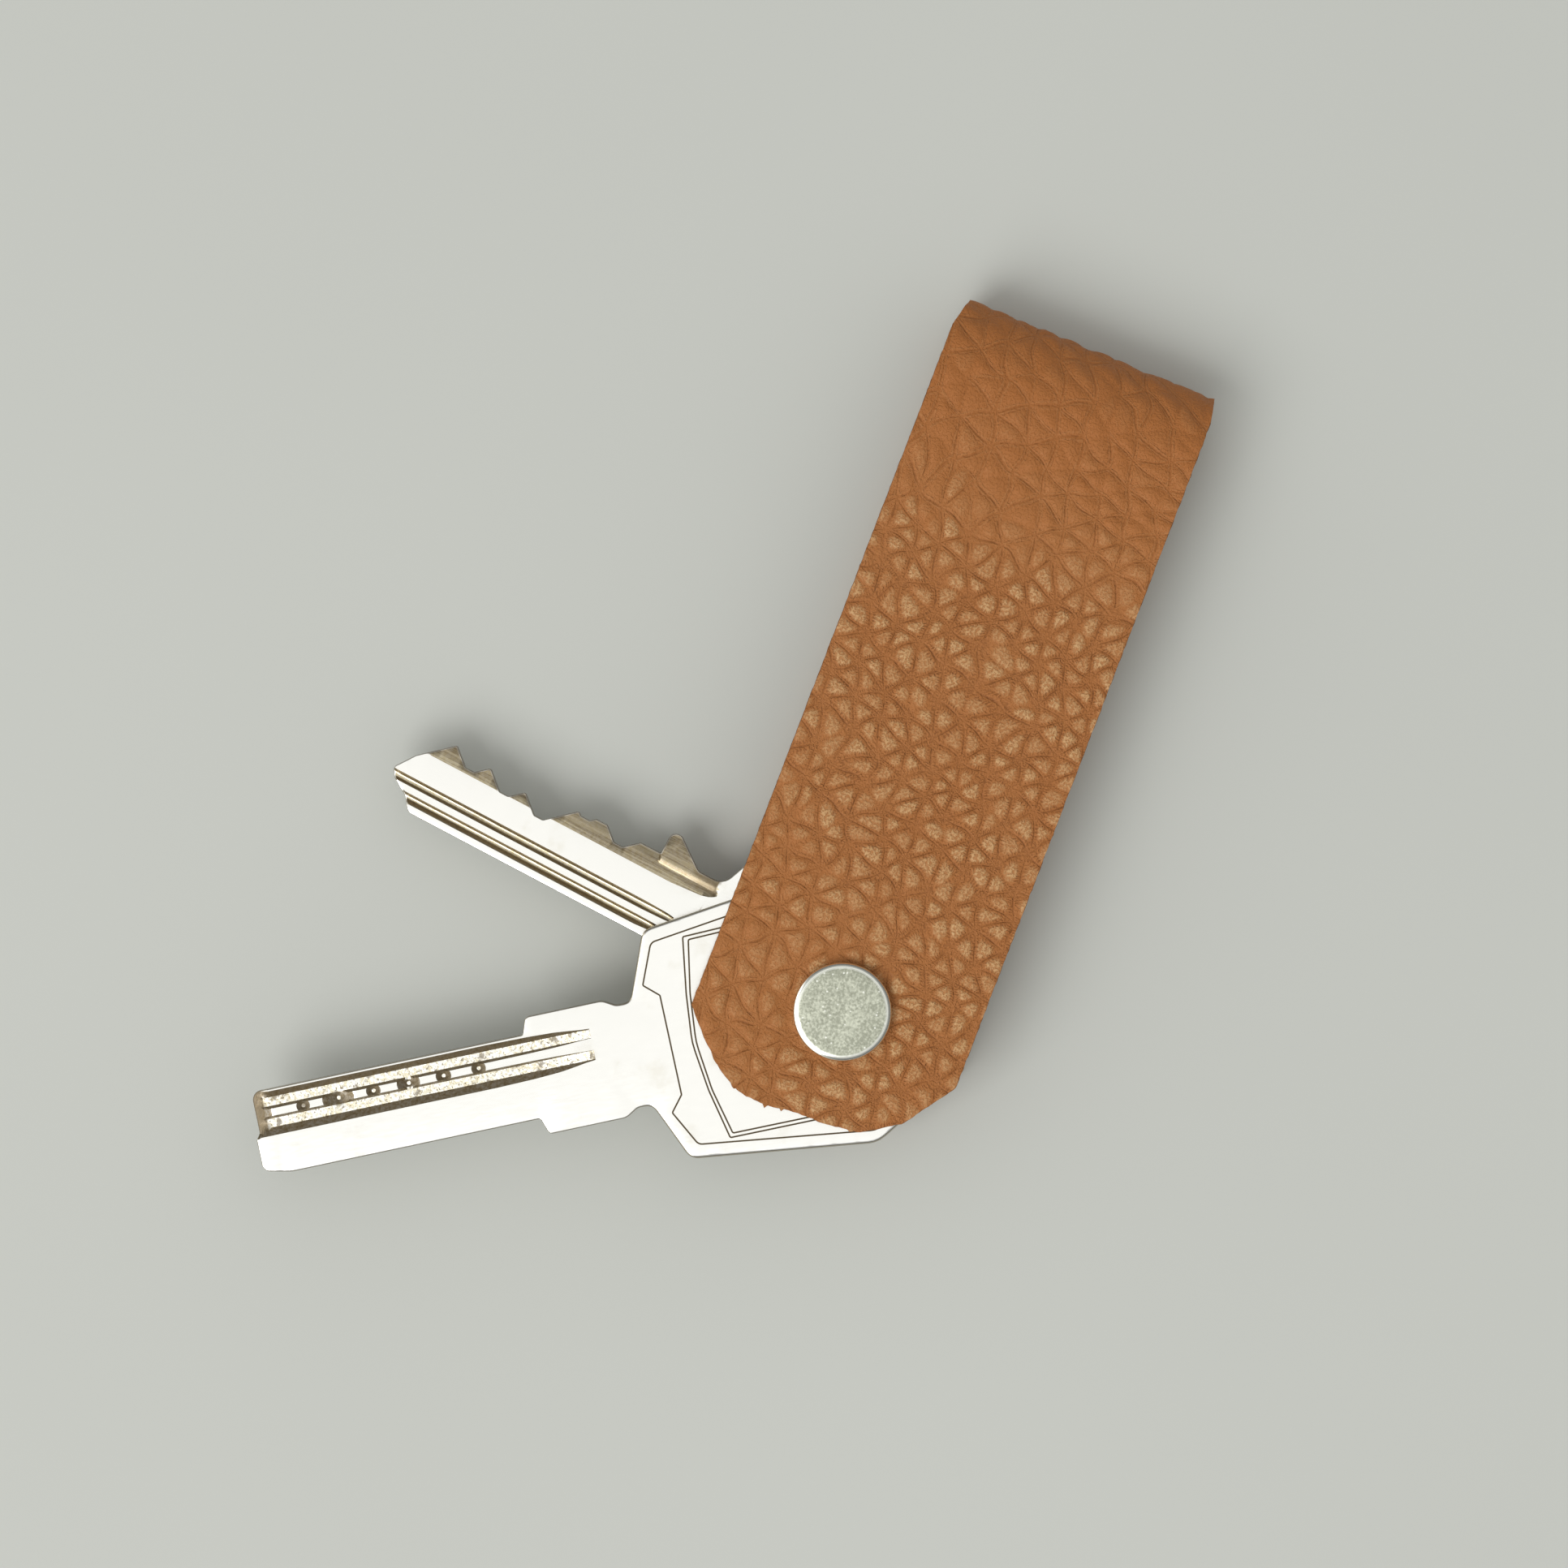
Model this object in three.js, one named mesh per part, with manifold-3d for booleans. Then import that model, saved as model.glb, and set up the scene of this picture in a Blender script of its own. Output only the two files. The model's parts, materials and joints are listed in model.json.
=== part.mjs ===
// Strap keychain: a leather strip folded double, a two-part binding screw through its ends,
// and two keys that turn on the screw between the leaves.
// Millimetres, +Z up. The strap rests on z = 0 and its fold points along +X.
import * as THREE from "three";
import { mergeVertices } from "three/addons/utils/BufferGeometryUtils.js";
import Module from "manifold-3d";

// Leather strap, measured from the post's axis
const STRAP_WIDTH = 28;
const STRAP_THICKNESS = 2;
const FOLD_REACH = 72; // post axis to the outer face of the fold
const FOLD_DEPTH = 7.9; // length over which the leaves curve into the fold
const TIP_REACH = 11.4; // post axis to the trimmed end
const TRIM_LEFT = { along: 6.6, across: 7.9, bulge: 0.7 }; // corners cut off the end by hand
const TRIM_RIGHT = { along: 8.3, across: 9.2, bulge: 1.5 };
const TRIM_ROUND = 4;
const TRIM_EDGE_ROUND = 1; // where a trim meets the strap's side
const POST_OFFSET = 0.5; // post axis to the strap's centre line
const LIFT_MARGIN = 2.4; // flat leather kept round the screw's head
const LIFT_RUN = 10.5; // length over which the lower leaf comes down to the table

// Binding post and screw
const HEAD_DIAMETER = 10;
const HEAD_THICKNESS = 1.1;
const HEAD_ROUND = 0.55;
const BARREL_DIAMETER = 5;
const BARREL_WALL = 0.4; // barrel's metal outside the thread
const BARREL_END_GAP = 0.4; // barrel's open end to the screw's head
const SCREW_LENGTH = 6; // under the screw's head
const SCREW_TIP_GAP = 0.5; // screw's tip to the end of the bore
const THREAD_PITCH = 0.7;
const THREAD_DEPTH = 0.42;
const THREAD_CREST = 0.12; // width of the thread's crest
const THREAD_ROOT = 0.48; // width of the thread at its root
const THREAD_CLEARANCE = 0.1;
const SLOT_WIDTH = 1.2;
const SLOT_DEPTH = 0.5;

// Clearances of the assembly
const SEAT_GAP = 0.15; // between stacked faces along the post
const HOLE_CLEARANCE = 0.25; // round the barrel, in leather and keys alike

// Dimple key, the upper one: x runs from the post's axis to the key's tip
const DIMPLE_ANGLE = 123; // degrees from the fold's direction, counter-clockwise
const DIMPLE_THICKNESS = 2.4;
const DIMPLE_STOP_REACH = 32.3; // post axis to the shoulder that stops the key
const DIMPLE_BLADE_WIDTH = 8.74;
const DIMPLE_COLLAR_WIDTH = 12.2;
const DIMPLE_COLLAR_LENGTH = 8;
const DIMPLE_STOP_SLANT = 0.6;
const DIMPLE_STOP_ROUND = 0.3;
const DIMPLE_COLLAR_ROUND = 0.6;
const DIMPLE_COLLAR_BACK_ROUND = 1.5;
const DIMPLE_NECK_WIDTH = 10.7;
const DIMPLE_NECK_LENGTH = 1.5;
const DIMPLE_NECK_TAPER = 1.3; // from the collar down to the neck
const DIMPLE_NECK_FRONT_ROUND = 1;
const DIMPLE_NECK_BACK_ROUND = 1.4;
const DIMPLE_BOW_OFFSET = -0.35; // blade's centre line to the bow's
const DIMPLE_BOW_WIDTH = 28.5;
const DIMPLE_BOW_FRONT_WIDTH = 23.8;
const DIMPLE_BOW_FLANK = 2.7; // length of the slanted front of the bow
const DIMPLE_BOW_LENGTH = 19; // widest place to the front corner
const DIMPLE_BOW_REAR = 7.6; // widest place to the rear edge
const DIMPLE_REAR_WIDTH = 20;
const DIMPLE_BOW_FRONT_ROUND = 1.5;
const DIMPLE_BOW_SIDE_ROUND = 3;
const DIMPLE_BOW_REAR_ROUND = 4;
const DIMPLE_PIT_FIRST = 5.1; // shoulder to the first dimple
const DIMPLE_PIT_PITCH = 3.65;
const DIMPLE_PITS = [
  { radius: 0.75, depth: 0.5 },
  { radius: 0.8, depth: 0.55 },
  { radius: 1.2, depth: 0.8 },
  { radius: 0.75, depth: 0.5 },
  { radius: 1.65, depth: 1 },
  { radius: 0.7, depth: 0.45 },
];
const DIMPLE_PIT_FLOOR = 0.3; // radius of a dimple's floor
const DIMPLE_NOSE = 5.4; // last dimple to the tip
const DIMPLE_TIP_ROUND = 1.2;
const TRACK_CENTRE = 1.97; // key's centre line to the middle of the rail between the tracks
const TRACK_START = 6.5; // shoulder back to where the tracks begin
const TRACK_RAMP = 8; // length over which a track sinks to full depth
const TRACK_DEPTH = 0.6;
const TRACK_FLOOR = 0.88; // width of a track's floor
const RAIL_WIDTH = 0.74;
const TRACK_INNER_SLOPE = 0.28; // how far the rail's side leans out over the depth
const TRACK_OUTER_SLOPE = 0.8; // the same of the track nearer the key's centre line, on its far side
const TRACK_EDGE_SLOPE = 0.4; // the same of the track nearer the key's edge

// Cut key, the lower one: x runs from the post's axis towards the key's tip, along its spine
const CUT_ANGLE = 83.1;
const CUT_THICKNESS = 2.2;
const CUT_STOP_REACH = 23.85; // post axis to the shoulder that stops the key
const CUT_SPINE = 2.88; // post axis to the spine
const CUT_BLADE_HEIGHT = 8.36;
const CUT_FIRST = 4.25; // shoulder to the first cut
const CUT_PITCH = 4.25;
const CUT_DEPTHS = [1.25, 0.45, 2.62, 2.15, 1.6];
const CUT_ROOT_WIDTH = 1;
const CUT_ROOT_ROUND = 0.3;
const CUT_EDGE_ROUND = 0.2; // where a cut's flank meets the uncut edge
const CUT_FLANK = 0.88; // rise of a cut's flank over its run
const CUT_NOSE = 7.05; // last cut to the tip
const CUT_NOSE_OUTLINE = [
  { back: 1.5, drop: 5.5, round: 0.3 }, // back from the tip, and down from the spine
  { back: 0, drop: 3.4, round: 0.6 },
  { back: 0.55, drop: 2.55, round: 0.5 },
  { back: 2.4, drop: 1.35, round: 0.5 },
  { back: 3.5, drop: 0, round: 0.9 },
];
const CUT_NECK = 5.65; // post axis to the edge of the neck below the shoulder
const CUT_NECK_LENGTH = 7.1; // shoulder back to the front of the bow
const CUT_NECK_ROUND = 1.6;
const CUT_SHOULDER = 3.4; // height of the shoulder above the uncut edge
const CUT_SHOULDER_LENGTH = 4.3;
const CUT_SHOULDER_ROUND = 1.1;
const CUT_SHOULDER_FOOT_ROUND = 1;
const CUT_STOP_ROUND = 0.15;
const CUT_BOW_WIDTH = 24.4;
const CUT_BOW_REAR = 8.8; // post axis to the rear of the bow
const CUT_BOW_SLANT = 2.5; // how far the bow's front slants back to its corners
const CUT_BOW_ROUND = 6.5;
const CUT_GROOVE_DEPTH = 0.5;
const CUT_GROOVE_SIDE = 0.16; // how far a groove's side leans out over the depth
const CUT_GROOVES_ABOVE = [
  { edge: 0.72, width: 1, runout: 4.2 },
  { edge: 2.38, width: 0.95, runout: 4 },
  { edge: 6.2, width: 0.85, runout: 6.8 },
];
const CUT_GROOVES_BELOW = [
  { edge: 1.1, width: 0.9, runout: 4 },
  { edge: 4.3, width: 1.2, runout: 4 },
];
const CUT_GROOVE_RAMP = 3; // length over which a groove sinks to full depth
const CUT_STEP = 7.5; // spine to the step that thins the blade's cut edge

// How a milled groove begins, as shares of its ramp and of its depth
const GROOVE_ENTRY_DEPTH = 0.15;
const GROOVE_KNEE = { along: 0.33, depth: 0.6 };

// Fineness of the model
const ARC_SEGMENTS = 3;
const FOLD_SEGMENTS = 12;
const PIT_SEGMENTS = 12;
const TURN_SEGMENTS = 40;
const BORE_SEGMENTS = 32;
const THREAD_STEPS = 16; // rings in one turn of the thread
const PAST = 0.4; // how far a cutter stands past what it cuts
const ROUND_SHARE = 0.49; // the most of an edge that the rounding at one end may take

// Levels of the stack, from the screw's head on the table up to the post's head
const LOWER_LEAF_Z = HEAD_THICKNESS + SEAT_GAP;
const CUT_KEY_Z = LOWER_LEAF_Z + STRAP_THICKNESS + SEAT_GAP;
const DIMPLE_KEY_Z = CUT_KEY_Z + CUT_THICKNESS + SEAT_GAP;
const UPPER_LEAF_Z = DIMPLE_KEY_Z + DIMPLE_THICKNESS + SEAT_GAP;
const LOOP_HEIGHT = UPPER_LEAF_Z + STRAP_THICKNESS;
const POST_HEAD_Z = LOOP_HEIGHT + SEAT_GAP;
const STACK_HEIGHT = POST_HEAD_Z + HEAD_THICKNESS;

// Places along the strap
const LIFT_START = HEAD_DIAMETER / 2 + LIFT_MARGIN;
const LIFT_END = LIFT_START + LIFT_RUN;
const FOLD_START = FOLD_REACH - FOLD_DEPTH;
const REST_X = (LIFT_END + FOLD_START) / 2; // middle of the flat stretch that lies on the table

const HOLE_RADIUS = BARREL_DIAMETER / 2 + HOLE_CLEARANCE;
const THREAD_OUTER = BARREL_DIAMETER / 2 - BARREL_WALL; // radius of the barrel's thread groove

const wasm = await Module();
wasm.setup();

// A three.js geometry as a solid that can be cut and joined.
function solid(geometry) {
  const bare = new THREE.BufferGeometry();
  bare.setAttribute("position", geometry.getAttribute("position"));
  bare.setIndex(geometry.index);
  const merged = mergeVertices(bare);
  const corners = merged.index.array;
  const triangles = [];
  for (let i = 0; i < corners.length; i += 3) {
    const [a, b, c] = corners.slice(i, i + 3);
    if (a !== b && b !== c && c !== a) triangles.push(a, b, c);
  }
  const vertProperties = merged.getAttribute("position").array;
  const triVerts = new Uint32Array(triangles);
  return new wasm.Manifold(new wasm.Mesh({ numProp: 3, vertProperties, triVerts }));
}

function cut(body, cutters) {
  return cutters.reduce((left, cutter) => left.subtract(solid(cutter)), body);
}

function geometryOf(body) {
  const mesh = body.getMesh();
  const geometry = new THREE.BufferGeometry();
  geometry.setAttribute("position", new THREE.BufferAttribute(mesh.vertProperties, 3));
  geometry.setIndex(new THREE.BufferAttribute(mesh.triVerts, 1));
  geometry.computeVertexNormals();
  return geometry;
}

// A closed shape through corners [x, y, radius], counter-clockwise, each rounded by its radius.
// A radius that its two edges have no room for is limited by the shorter one.
function roundedShape(corners) {
  const shape = new THREE.Shape();
  const at = (i) => new THREE.Vector2(...corners[(i + corners.length) % corners.length]);
  corners.forEach(([x, y, radius], i) => {
    const corner = new THREE.Vector2(x, y);
    const back = at(i - 1).sub(corner);
    const ahead = at(i + 1).sub(corner);
    const half = Math.acos(back.dot(ahead) / (back.length() * ahead.length())) / 2;
    const room = Math.min(back.length(), ahead.length()) * ROUND_SHARE;
    const reach = Math.min(radius / Math.tan(half), room);
    const fitted = reach * Math.tan(half);
    const convex = ahead.cross(back) > 0;
    const start = corner.clone().addScaledVector(back.normalize(), reach);
    const end = corner.clone().addScaledVector(ahead.normalize(), reach);
    const inward = back.add(ahead).normalize();
    const centre = corner.clone().addScaledVector(inward, reach / Math.cos(half));
    const from = start.sub(centre).angle();
    const to = end.sub(centre).angle();
    shape.absarc(centre.x, centre.y, fitted, from, to, !convex);
  });
  return shape.closePath();
}

// A flat plate of that outline, standing on z = 0.
function plate(shape, thickness) {
  const settings = { depth: thickness, bevelEnabled: false, curveSegments: ARC_SEGMENTS };
  return new THREE.ExtrudeGeometry(shape, settings);
}

// A closed body through rings of points, each ring counter-clockwise about the way it travels.
function lofted(rings) {
  const sides = rings[0].length;
  const last = (rings.length - 1) * sides;
  const triangles = [];
  for (let ring = 0; ring < last; ring += sides) {
    for (let j = 0; j < sides; j += 1) {
      const next = (j + 1) % sides;
      triangles.push(ring + j, ring + next, ring + sides + next);
      triangles.push(ring + j, ring + sides + next, ring + sides + j);
    }
  }
  for (let j = 1; j < sides - 1; j += 1) {
    triangles.push(0, j + 1, j);
    triangles.push(last, last + j, last + j + 1);
  }
  const geometry = new THREE.BufferGeometry().setFromPoints(rings.flat());
  return geometry.setIndex(triangles);
}

// A body of revolution about Z from a profile of [radius, height] points that ends on the axis.
function turned(profile, segments) {
  const points = profile.map(([radius, height]) => new THREE.Vector2(radius, height));
  return new THREE.LatheGeometry(points, segments).rotateX(Math.PI / 2);
}

function rod(radius, from, to, sides) {
  const geometry = new THREE.CylinderGeometry(radius, radius, to - from, sides);
  return geometry.rotateX(Math.PI / 2).translate(0, 0, (from + to) / 2);
}

// The strap's side view: the lower leaf, lifted over the screw's head, the fold and the upper leaf.
function strapSideShape() {
  const middle = LOOP_HEIGHT / 2;
  const t = STRAP_THICKNESS;
  const start = -TIP_REACH - PAST;
  const ease = LIFT_RUN / 2;
  const shape = new THREE.Shape();
  shape.moveTo(start, LOWER_LEAF_Z);
  shape.lineTo(LIFT_START, LOWER_LEAF_Z);
  shape.bezierCurveTo(LIFT_START + ease, LOWER_LEAF_Z, LIFT_END - ease, 0, LIFT_END, 0);
  shape.lineTo(FOLD_START, 0);
  shape.absellipse(FOLD_START, middle, FOLD_DEPTH, middle, -Math.PI / 2, Math.PI / 2, false, 0);
  shape.lineTo(start, LOOP_HEIGHT);
  shape.lineTo(start, UPPER_LEAF_Z);
  shape.lineTo(FOLD_START, UPPER_LEAF_Z);
  const inner = [FOLD_DEPTH - t, middle - t];
  shape.absellipse(FOLD_START, middle, ...inner, Math.PI / 2, -Math.PI / 2, true, 0);
  shape.lineTo(LIFT_END, t);
  shape.bezierCurveTo(LIFT_END - ease, t, LIFT_START + ease, LOWER_LEAF_Z + t, LIFT_START, LOWER_LEAF_Z + t);
  shape.lineTo(start, LOWER_LEAF_Z + t);
  return shape.closePath();
}

// The strap from above: a band whose end is trimmed at both corners.
function strapTopShape() {
  const left = POST_OFFSET + STRAP_WIDTH / 2;
  const right = POST_OFFSET - STRAP_WIDTH / 2;
  const far = FOLD_REACH + PAST;
  const trimmed = ({ along, across, bulge }, edge, inward) => {
    const outward = bulge / Math.hypot(along, across);
    return [
      [along - TIP_REACH, edge, TRIM_EDGE_ROUND],
      [along / 2 - TIP_REACH - across * outward, edge + inward * (across / 2 - along * outward), TRIM_ROUND],
      [-TIP_REACH, edge + inward * across, TRIM_ROUND],
    ];
  };
  return roundedShape([
    [far, left, 0],
    ...trimmed(TRIM_LEFT, left, -1),
    ...trimmed(TRIM_RIGHT, right, 1).reverse(),
    [far, right, 0],
  ]);
}

function leatherStrap() {
  const settings = { depth: STRAP_WIDTH + 2 * PAST, bevelEnabled: false, curveSegments: FOLD_SEGMENTS };
  const band = new THREE.ExtrudeGeometry(strapSideShape(), settings);
  band.rotateX(Math.PI / 2).translate(0, POST_OFFSET + STRAP_WIDTH / 2 + PAST, 0);
  const outline = plate(strapTopShape(), LOOP_HEIGHT + 2 * PAST).translate(0, 0, -PAST);
  const hole = rod(HOLE_RADIUS, 0, STACK_HEIGHT, BORE_SEGMENTS);
  return cut(solid(band).intersect(solid(outline)), [hole]);
}

// One unbroken ridge of thread between two heights, wider by extra on every side. Its foot reaches
// a thread's depth below its root, so that it cuts or joins cleanly.
function threadRidge(from, to, crestRadius, extra) {
  const crest = THREAD_CREST / 2 + extra;
  const foot = crest + (THREAD_ROOT - THREAD_CREST);
  const footRadius = crestRadius - 2 * THREAD_DEPTH;
  const rise = THREAD_PITCH / THREAD_STEPS;
  const rings = [];
  for (let step = Math.ceil(from / rise); step <= to / rise; step += 1) {
    const angle = (2 * Math.PI * step) / THREAD_STEPS;
    const corners = [
      [footRadius, foot],
      [crestRadius, crest],
      [crestRadius, -crest],
      [footRadius, -foot],
    ];
    const place = ([r, z]) => new THREE.Vector3(r * Math.cos(angle), r * Math.sin(angle), step * rise + z);
    rings.push(corners.map(place));
  }
  return lofted(rings);
}

// A round head with a softened rim, standing on z = 0, its flat face on top.
function headProfile() {
  const radius = HEAD_DIAMETER / 2;
  const profile = [[0, 0], [radius, 0]];
  for (let step = 0; step <= ARC_SEGMENTS; step += 1) {
    const angle = (step / ARC_SEGMENTS) * (Math.PI / 2);
    const inset = HEAD_ROUND * (1 - Math.cos(angle));
    profile.push([radius - inset, HEAD_THICKNESS - HEAD_ROUND * (1 - Math.sin(angle))]);
  }
  profile.push([0, HEAD_THICKNESS]);
  return profile;
}

const BARREL_END_Z = HEAD_THICKNESS + BARREL_END_GAP;
const SCREW_TIP_Z = HEAD_THICKNESS + SCREW_LENGTH;
const BORE_END_Z = SCREW_TIP_Z + SCREW_TIP_GAP;
const SCREW_CREST = THREAD_OUTER - THREAD_CLEARANCE;
const SCREW_CORE = SCREW_CREST - THREAD_DEPTH;
const BORE_RADIUS = SCREW_CORE + 2 * THREAD_CLEARANCE;

function bindingPost() {
  const head = turned(headProfile(), TURN_SEGMENTS).translate(0, 0, POST_HEAD_Z);
  const barrel = rod(BARREL_DIAMETER / 2, BARREL_END_Z, POST_HEAD_Z + HEAD_THICKNESS / 2, BORE_SEGMENTS);
  const bore = rod(BORE_RADIUS, BARREL_END_Z - PAST, BORE_END_Z, THREAD_STEPS);
  const thread = threadRidge(BARREL_END_Z - THREAD_PITCH, SCREW_TIP_Z, THREAD_OUTER, THREAD_CLEARANCE);
  return cut(solid(head).add(solid(barrel)), [bore, thread]);
}

function bindingScrew() {
  const head = turned(headProfile(), TURN_SEGMENTS).rotateX(Math.PI).translate(0, 0, HEAD_THICKNESS);
  const shank = rod(SCREW_CORE, HEAD_THICKNESS / 2, SCREW_TIP_Z, THREAD_STEPS);
  const ridge = threadRidge(BARREL_END_Z, SCREW_TIP_Z - THREAD_PITCH, SCREW_CREST, 0);
  const slot = new THREE.BoxGeometry(HEAD_DIAMETER + PAST, SLOT_WIDTH, 2 * SLOT_DEPTH);
  return cut(solid(head).add(solid(shank)).add(solid(ridge)), [slot]);
}

// A long groove along X under the plane z = 0, sinking to its depth over the ramp at its start.
// floor holds the y of the floor's two edges, and lean how far each side leans out over the depth.
function groove({ from, to, ramp, depth, floor, lean }) {
  const stations = [
    [from, GROOVE_ENTRY_DEPTH],
    [from + ramp * GROOVE_KNEE.along, GROOVE_KNEE.depth],
    [from + ramp, 1],
    [to, 1],
  ];
  const rings = stations.map(([x, share]) => {
    const down = depth * share;
    const rise = (down + PAST) / depth;
    return [
      new THREE.Vector3(x, floor[0], -down),
      new THREE.Vector3(x, floor[1], -down),
      new THREE.Vector3(x, floor[1] + lean[1] * rise, PAST),
      new THREE.Vector3(x, floor[0] - lean[0] * rise, PAST),
    ];
  });
  return lofted(rings);
}

function dimpleKeyShape(tip) {
  const stop = DIMPLE_STOP_REACH;
  const collar = stop - DIMPLE_STOP_SLANT;
  const collarBack = collar - DIMPLE_COLLAR_LENGTH;
  const neckFront = collarBack - DIMPLE_NECK_TAPER;
  const neckBack = neckFront - DIMPLE_NECK_LENGTH;
  const front = neckBack - DIMPLE_BOW_FLANK;
  const widest = front - DIMPLE_BOW_LENGTH;
  const blade = [
    [tip, DIMPLE_BLADE_WIDTH / 2, DIMPLE_TIP_ROUND],
    [stop, DIMPLE_BLADE_WIDTH / 2, DIMPLE_STOP_ROUND],
    [collar, DIMPLE_COLLAR_WIDTH / 2, DIMPLE_COLLAR_ROUND],
    [collarBack, DIMPLE_COLLAR_WIDTH / 2, DIMPLE_COLLAR_BACK_ROUND],
    [neckFront, DIMPLE_NECK_WIDTH / 2, DIMPLE_NECK_FRONT_ROUND],
    [neckBack, DIMPLE_NECK_WIDTH / 2, DIMPLE_NECK_BACK_ROUND],
  ];
  const bow = [
    [front, DIMPLE_BOW_FRONT_WIDTH / 2, DIMPLE_BOW_FRONT_ROUND],
    [widest, DIMPLE_BOW_WIDTH / 2, DIMPLE_BOW_SIDE_ROUND],
    [widest - DIMPLE_BOW_REAR, DIMPLE_REAR_WIDTH / 2, DIMPLE_BOW_REAR_ROUND],
  ];
  const side = (sign) => [
    ...blade.map(([x, y, radius]) => [x, sign * y, radius]),
    ...bow.map(([x, y, radius]) => [x, sign * y + DIMPLE_BOW_OFFSET, radius]),
  ];
  return roundedShape([...side(1), ...side(-1).reverse()]);
}

// The two tracks, the dimples on the rail between them and the ramp at the tip, cut from one face.
function dimpleCutters(lastPit, tip) {
  const from = DIMPLE_STOP_REACH - TRACK_START;
  const rail = RAIL_WIDTH / 2 + TRACK_INNER_SLOPE;
  const near = -TRACK_CENTRE + rail;
  const far = -TRACK_CENTRE - rail;
  const run = { from, to: tip + PAST, ramp: TRACK_RAMP, depth: TRACK_DEPTH };
  const inner = TRACK_INNER_SLOPE;
  const tracks = [
    groove({ ...run, floor: [near, near + TRACK_FLOOR], lean: [inner, TRACK_OUTER_SLOPE] }),
    groove({ ...run, floor: [far - TRACK_FLOOR, far], lean: [TRACK_EDGE_SLOPE, inner] }),
  ];
  const pits = DIMPLE_PITS.map(({ radius, depth }, i) => {
    const widened = radius + (radius - DIMPLE_PIT_FLOOR) * (PAST / depth);
    const profile = [[0, -depth], [DIMPLE_PIT_FLOOR, -depth], [widened, PAST], [0, PAST]];
    const back = (DIMPLE_PITS.length - 1 - i) * DIMPLE_PIT_PITCH;
    return turned(profile, PIT_SEGMENTS).translate(lastPit - back, -TRACK_CENTRE, 0);
  });
  return [...tracks, ...pits];
}

function dimpleKey() {
  const lastPit = DIMPLE_STOP_REACH + DIMPLE_PIT_FIRST + (DIMPLE_PITS.length - 1) * DIMPLE_PIT_PITCH;
  const tip = lastPit + DIMPLE_NOSE;
  const blank = solid(plate(dimpleKeyShape(tip), DIMPLE_THICKNESS));
  const above = dimpleCutters(lastPit, tip).map((cutter) => cutter.translate(0, 0, DIMPLE_THICKNESS));
  const below = dimpleCutters(lastPit, tip).map((cutter) => cutter.rotateX(Math.PI));
  const hole = rod(HOLE_RADIUS, -PAST, DIMPLE_THICKNESS + PAST, BORE_SEGMENTS);
  return cut(blank, [...above, ...below, hole]);
}

// The cut edge of the key from the shoulder to the nose: flat roots joined by slanted flanks that
// meet in a point, or stop at the uncut edge where the cuts lie far apart.
function bittingCorners(uncut) {
  const corners = [];
  let lastX = CUT_STOP_REACH;
  let lastY = Infinity;
  const flankTo = (x, y) => {
    const run = x - lastX;
    const peak = (lastY + y - CUT_FLANK * run) / 2;
    if (peak > uncut) {
      corners.push([lastX + (lastY - peak) / CUT_FLANK, peak, CUT_ROOT_ROUND]);
    } else {
      if (Number.isFinite(lastY)) corners.push([lastX + (lastY - uncut) / CUT_FLANK, uncut, CUT_EDGE_ROUND]);
      corners.push([x - (y - uncut) / CUT_FLANK, uncut, CUT_EDGE_ROUND]);
    }
  };
  CUT_DEPTHS.forEach((depth, i) => {
    const middle = CUT_STOP_REACH + CUT_FIRST + i * CUT_PITCH;
    const root = uncut + depth;
    if (i > 0) flankTo(middle - CUT_ROOT_WIDTH / 2, root);
    else corners.push([middle - CUT_ROOT_WIDTH / 2 - depth / CUT_FLANK, uncut, CUT_EDGE_ROUND]);
    corners.push([middle - CUT_ROOT_WIDTH / 2, root, CUT_ROOT_ROUND]);
    corners.push([middle + CUT_ROOT_WIDTH / 2, root, CUT_ROOT_ROUND]);
    lastX = middle + CUT_ROOT_WIDTH / 2;
    lastY = root;
  });
  corners.push([lastX + (lastY - uncut) / CUT_FLANK, uncut, CUT_EDGE_ROUND]);
  return corners;
}

function cutKeyShape(tip, uncut) {
  const spine = CUT_SPINE;
  const stop = CUT_STOP_REACH;
  const front = stop - CUT_NECK_LENGTH;
  const side = CUT_BOW_WIDTH / 2;
  return roundedShape([
    ...CUT_NOSE_OUTLINE.map(({ back, drop, round }) => [tip - back, spine - drop, round]),
    [front, spine, CUT_NECK_ROUND],
    [front - CUT_BOW_SLANT, side, CUT_BOW_ROUND],
    [-CUT_BOW_REAR, side, CUT_BOW_ROUND],
    [-CUT_BOW_REAR, -side, CUT_BOW_ROUND],
    [front - CUT_BOW_SLANT, -side, CUT_BOW_ROUND],
    [front, -CUT_NECK, CUT_NECK_ROUND],
    [stop - CUT_SHOULDER_LENGTH, -CUT_NECK, CUT_SHOULDER_FOOT_ROUND],
    [stop, uncut - CUT_SHOULDER, CUT_SHOULDER_ROUND],
    [stop, uncut, CUT_STOP_ROUND],
    ...bittingCorners(uncut),
  ]);
}

function cutKeyGroove({ edge, width, runout }, tip) {
  const top = CUT_SPINE - edge;
  const lean = CUT_GROOVE_SIDE;
  return groove({
    from: CUT_STOP_REACH - runout,
    to: tip + PAST,
    ramp: CUT_GROOVE_RAMP,
    depth: CUT_GROOVE_DEPTH,
    floor: [top - width + lean, top - lean],
    lean: [lean, lean],
  });
}

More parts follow.
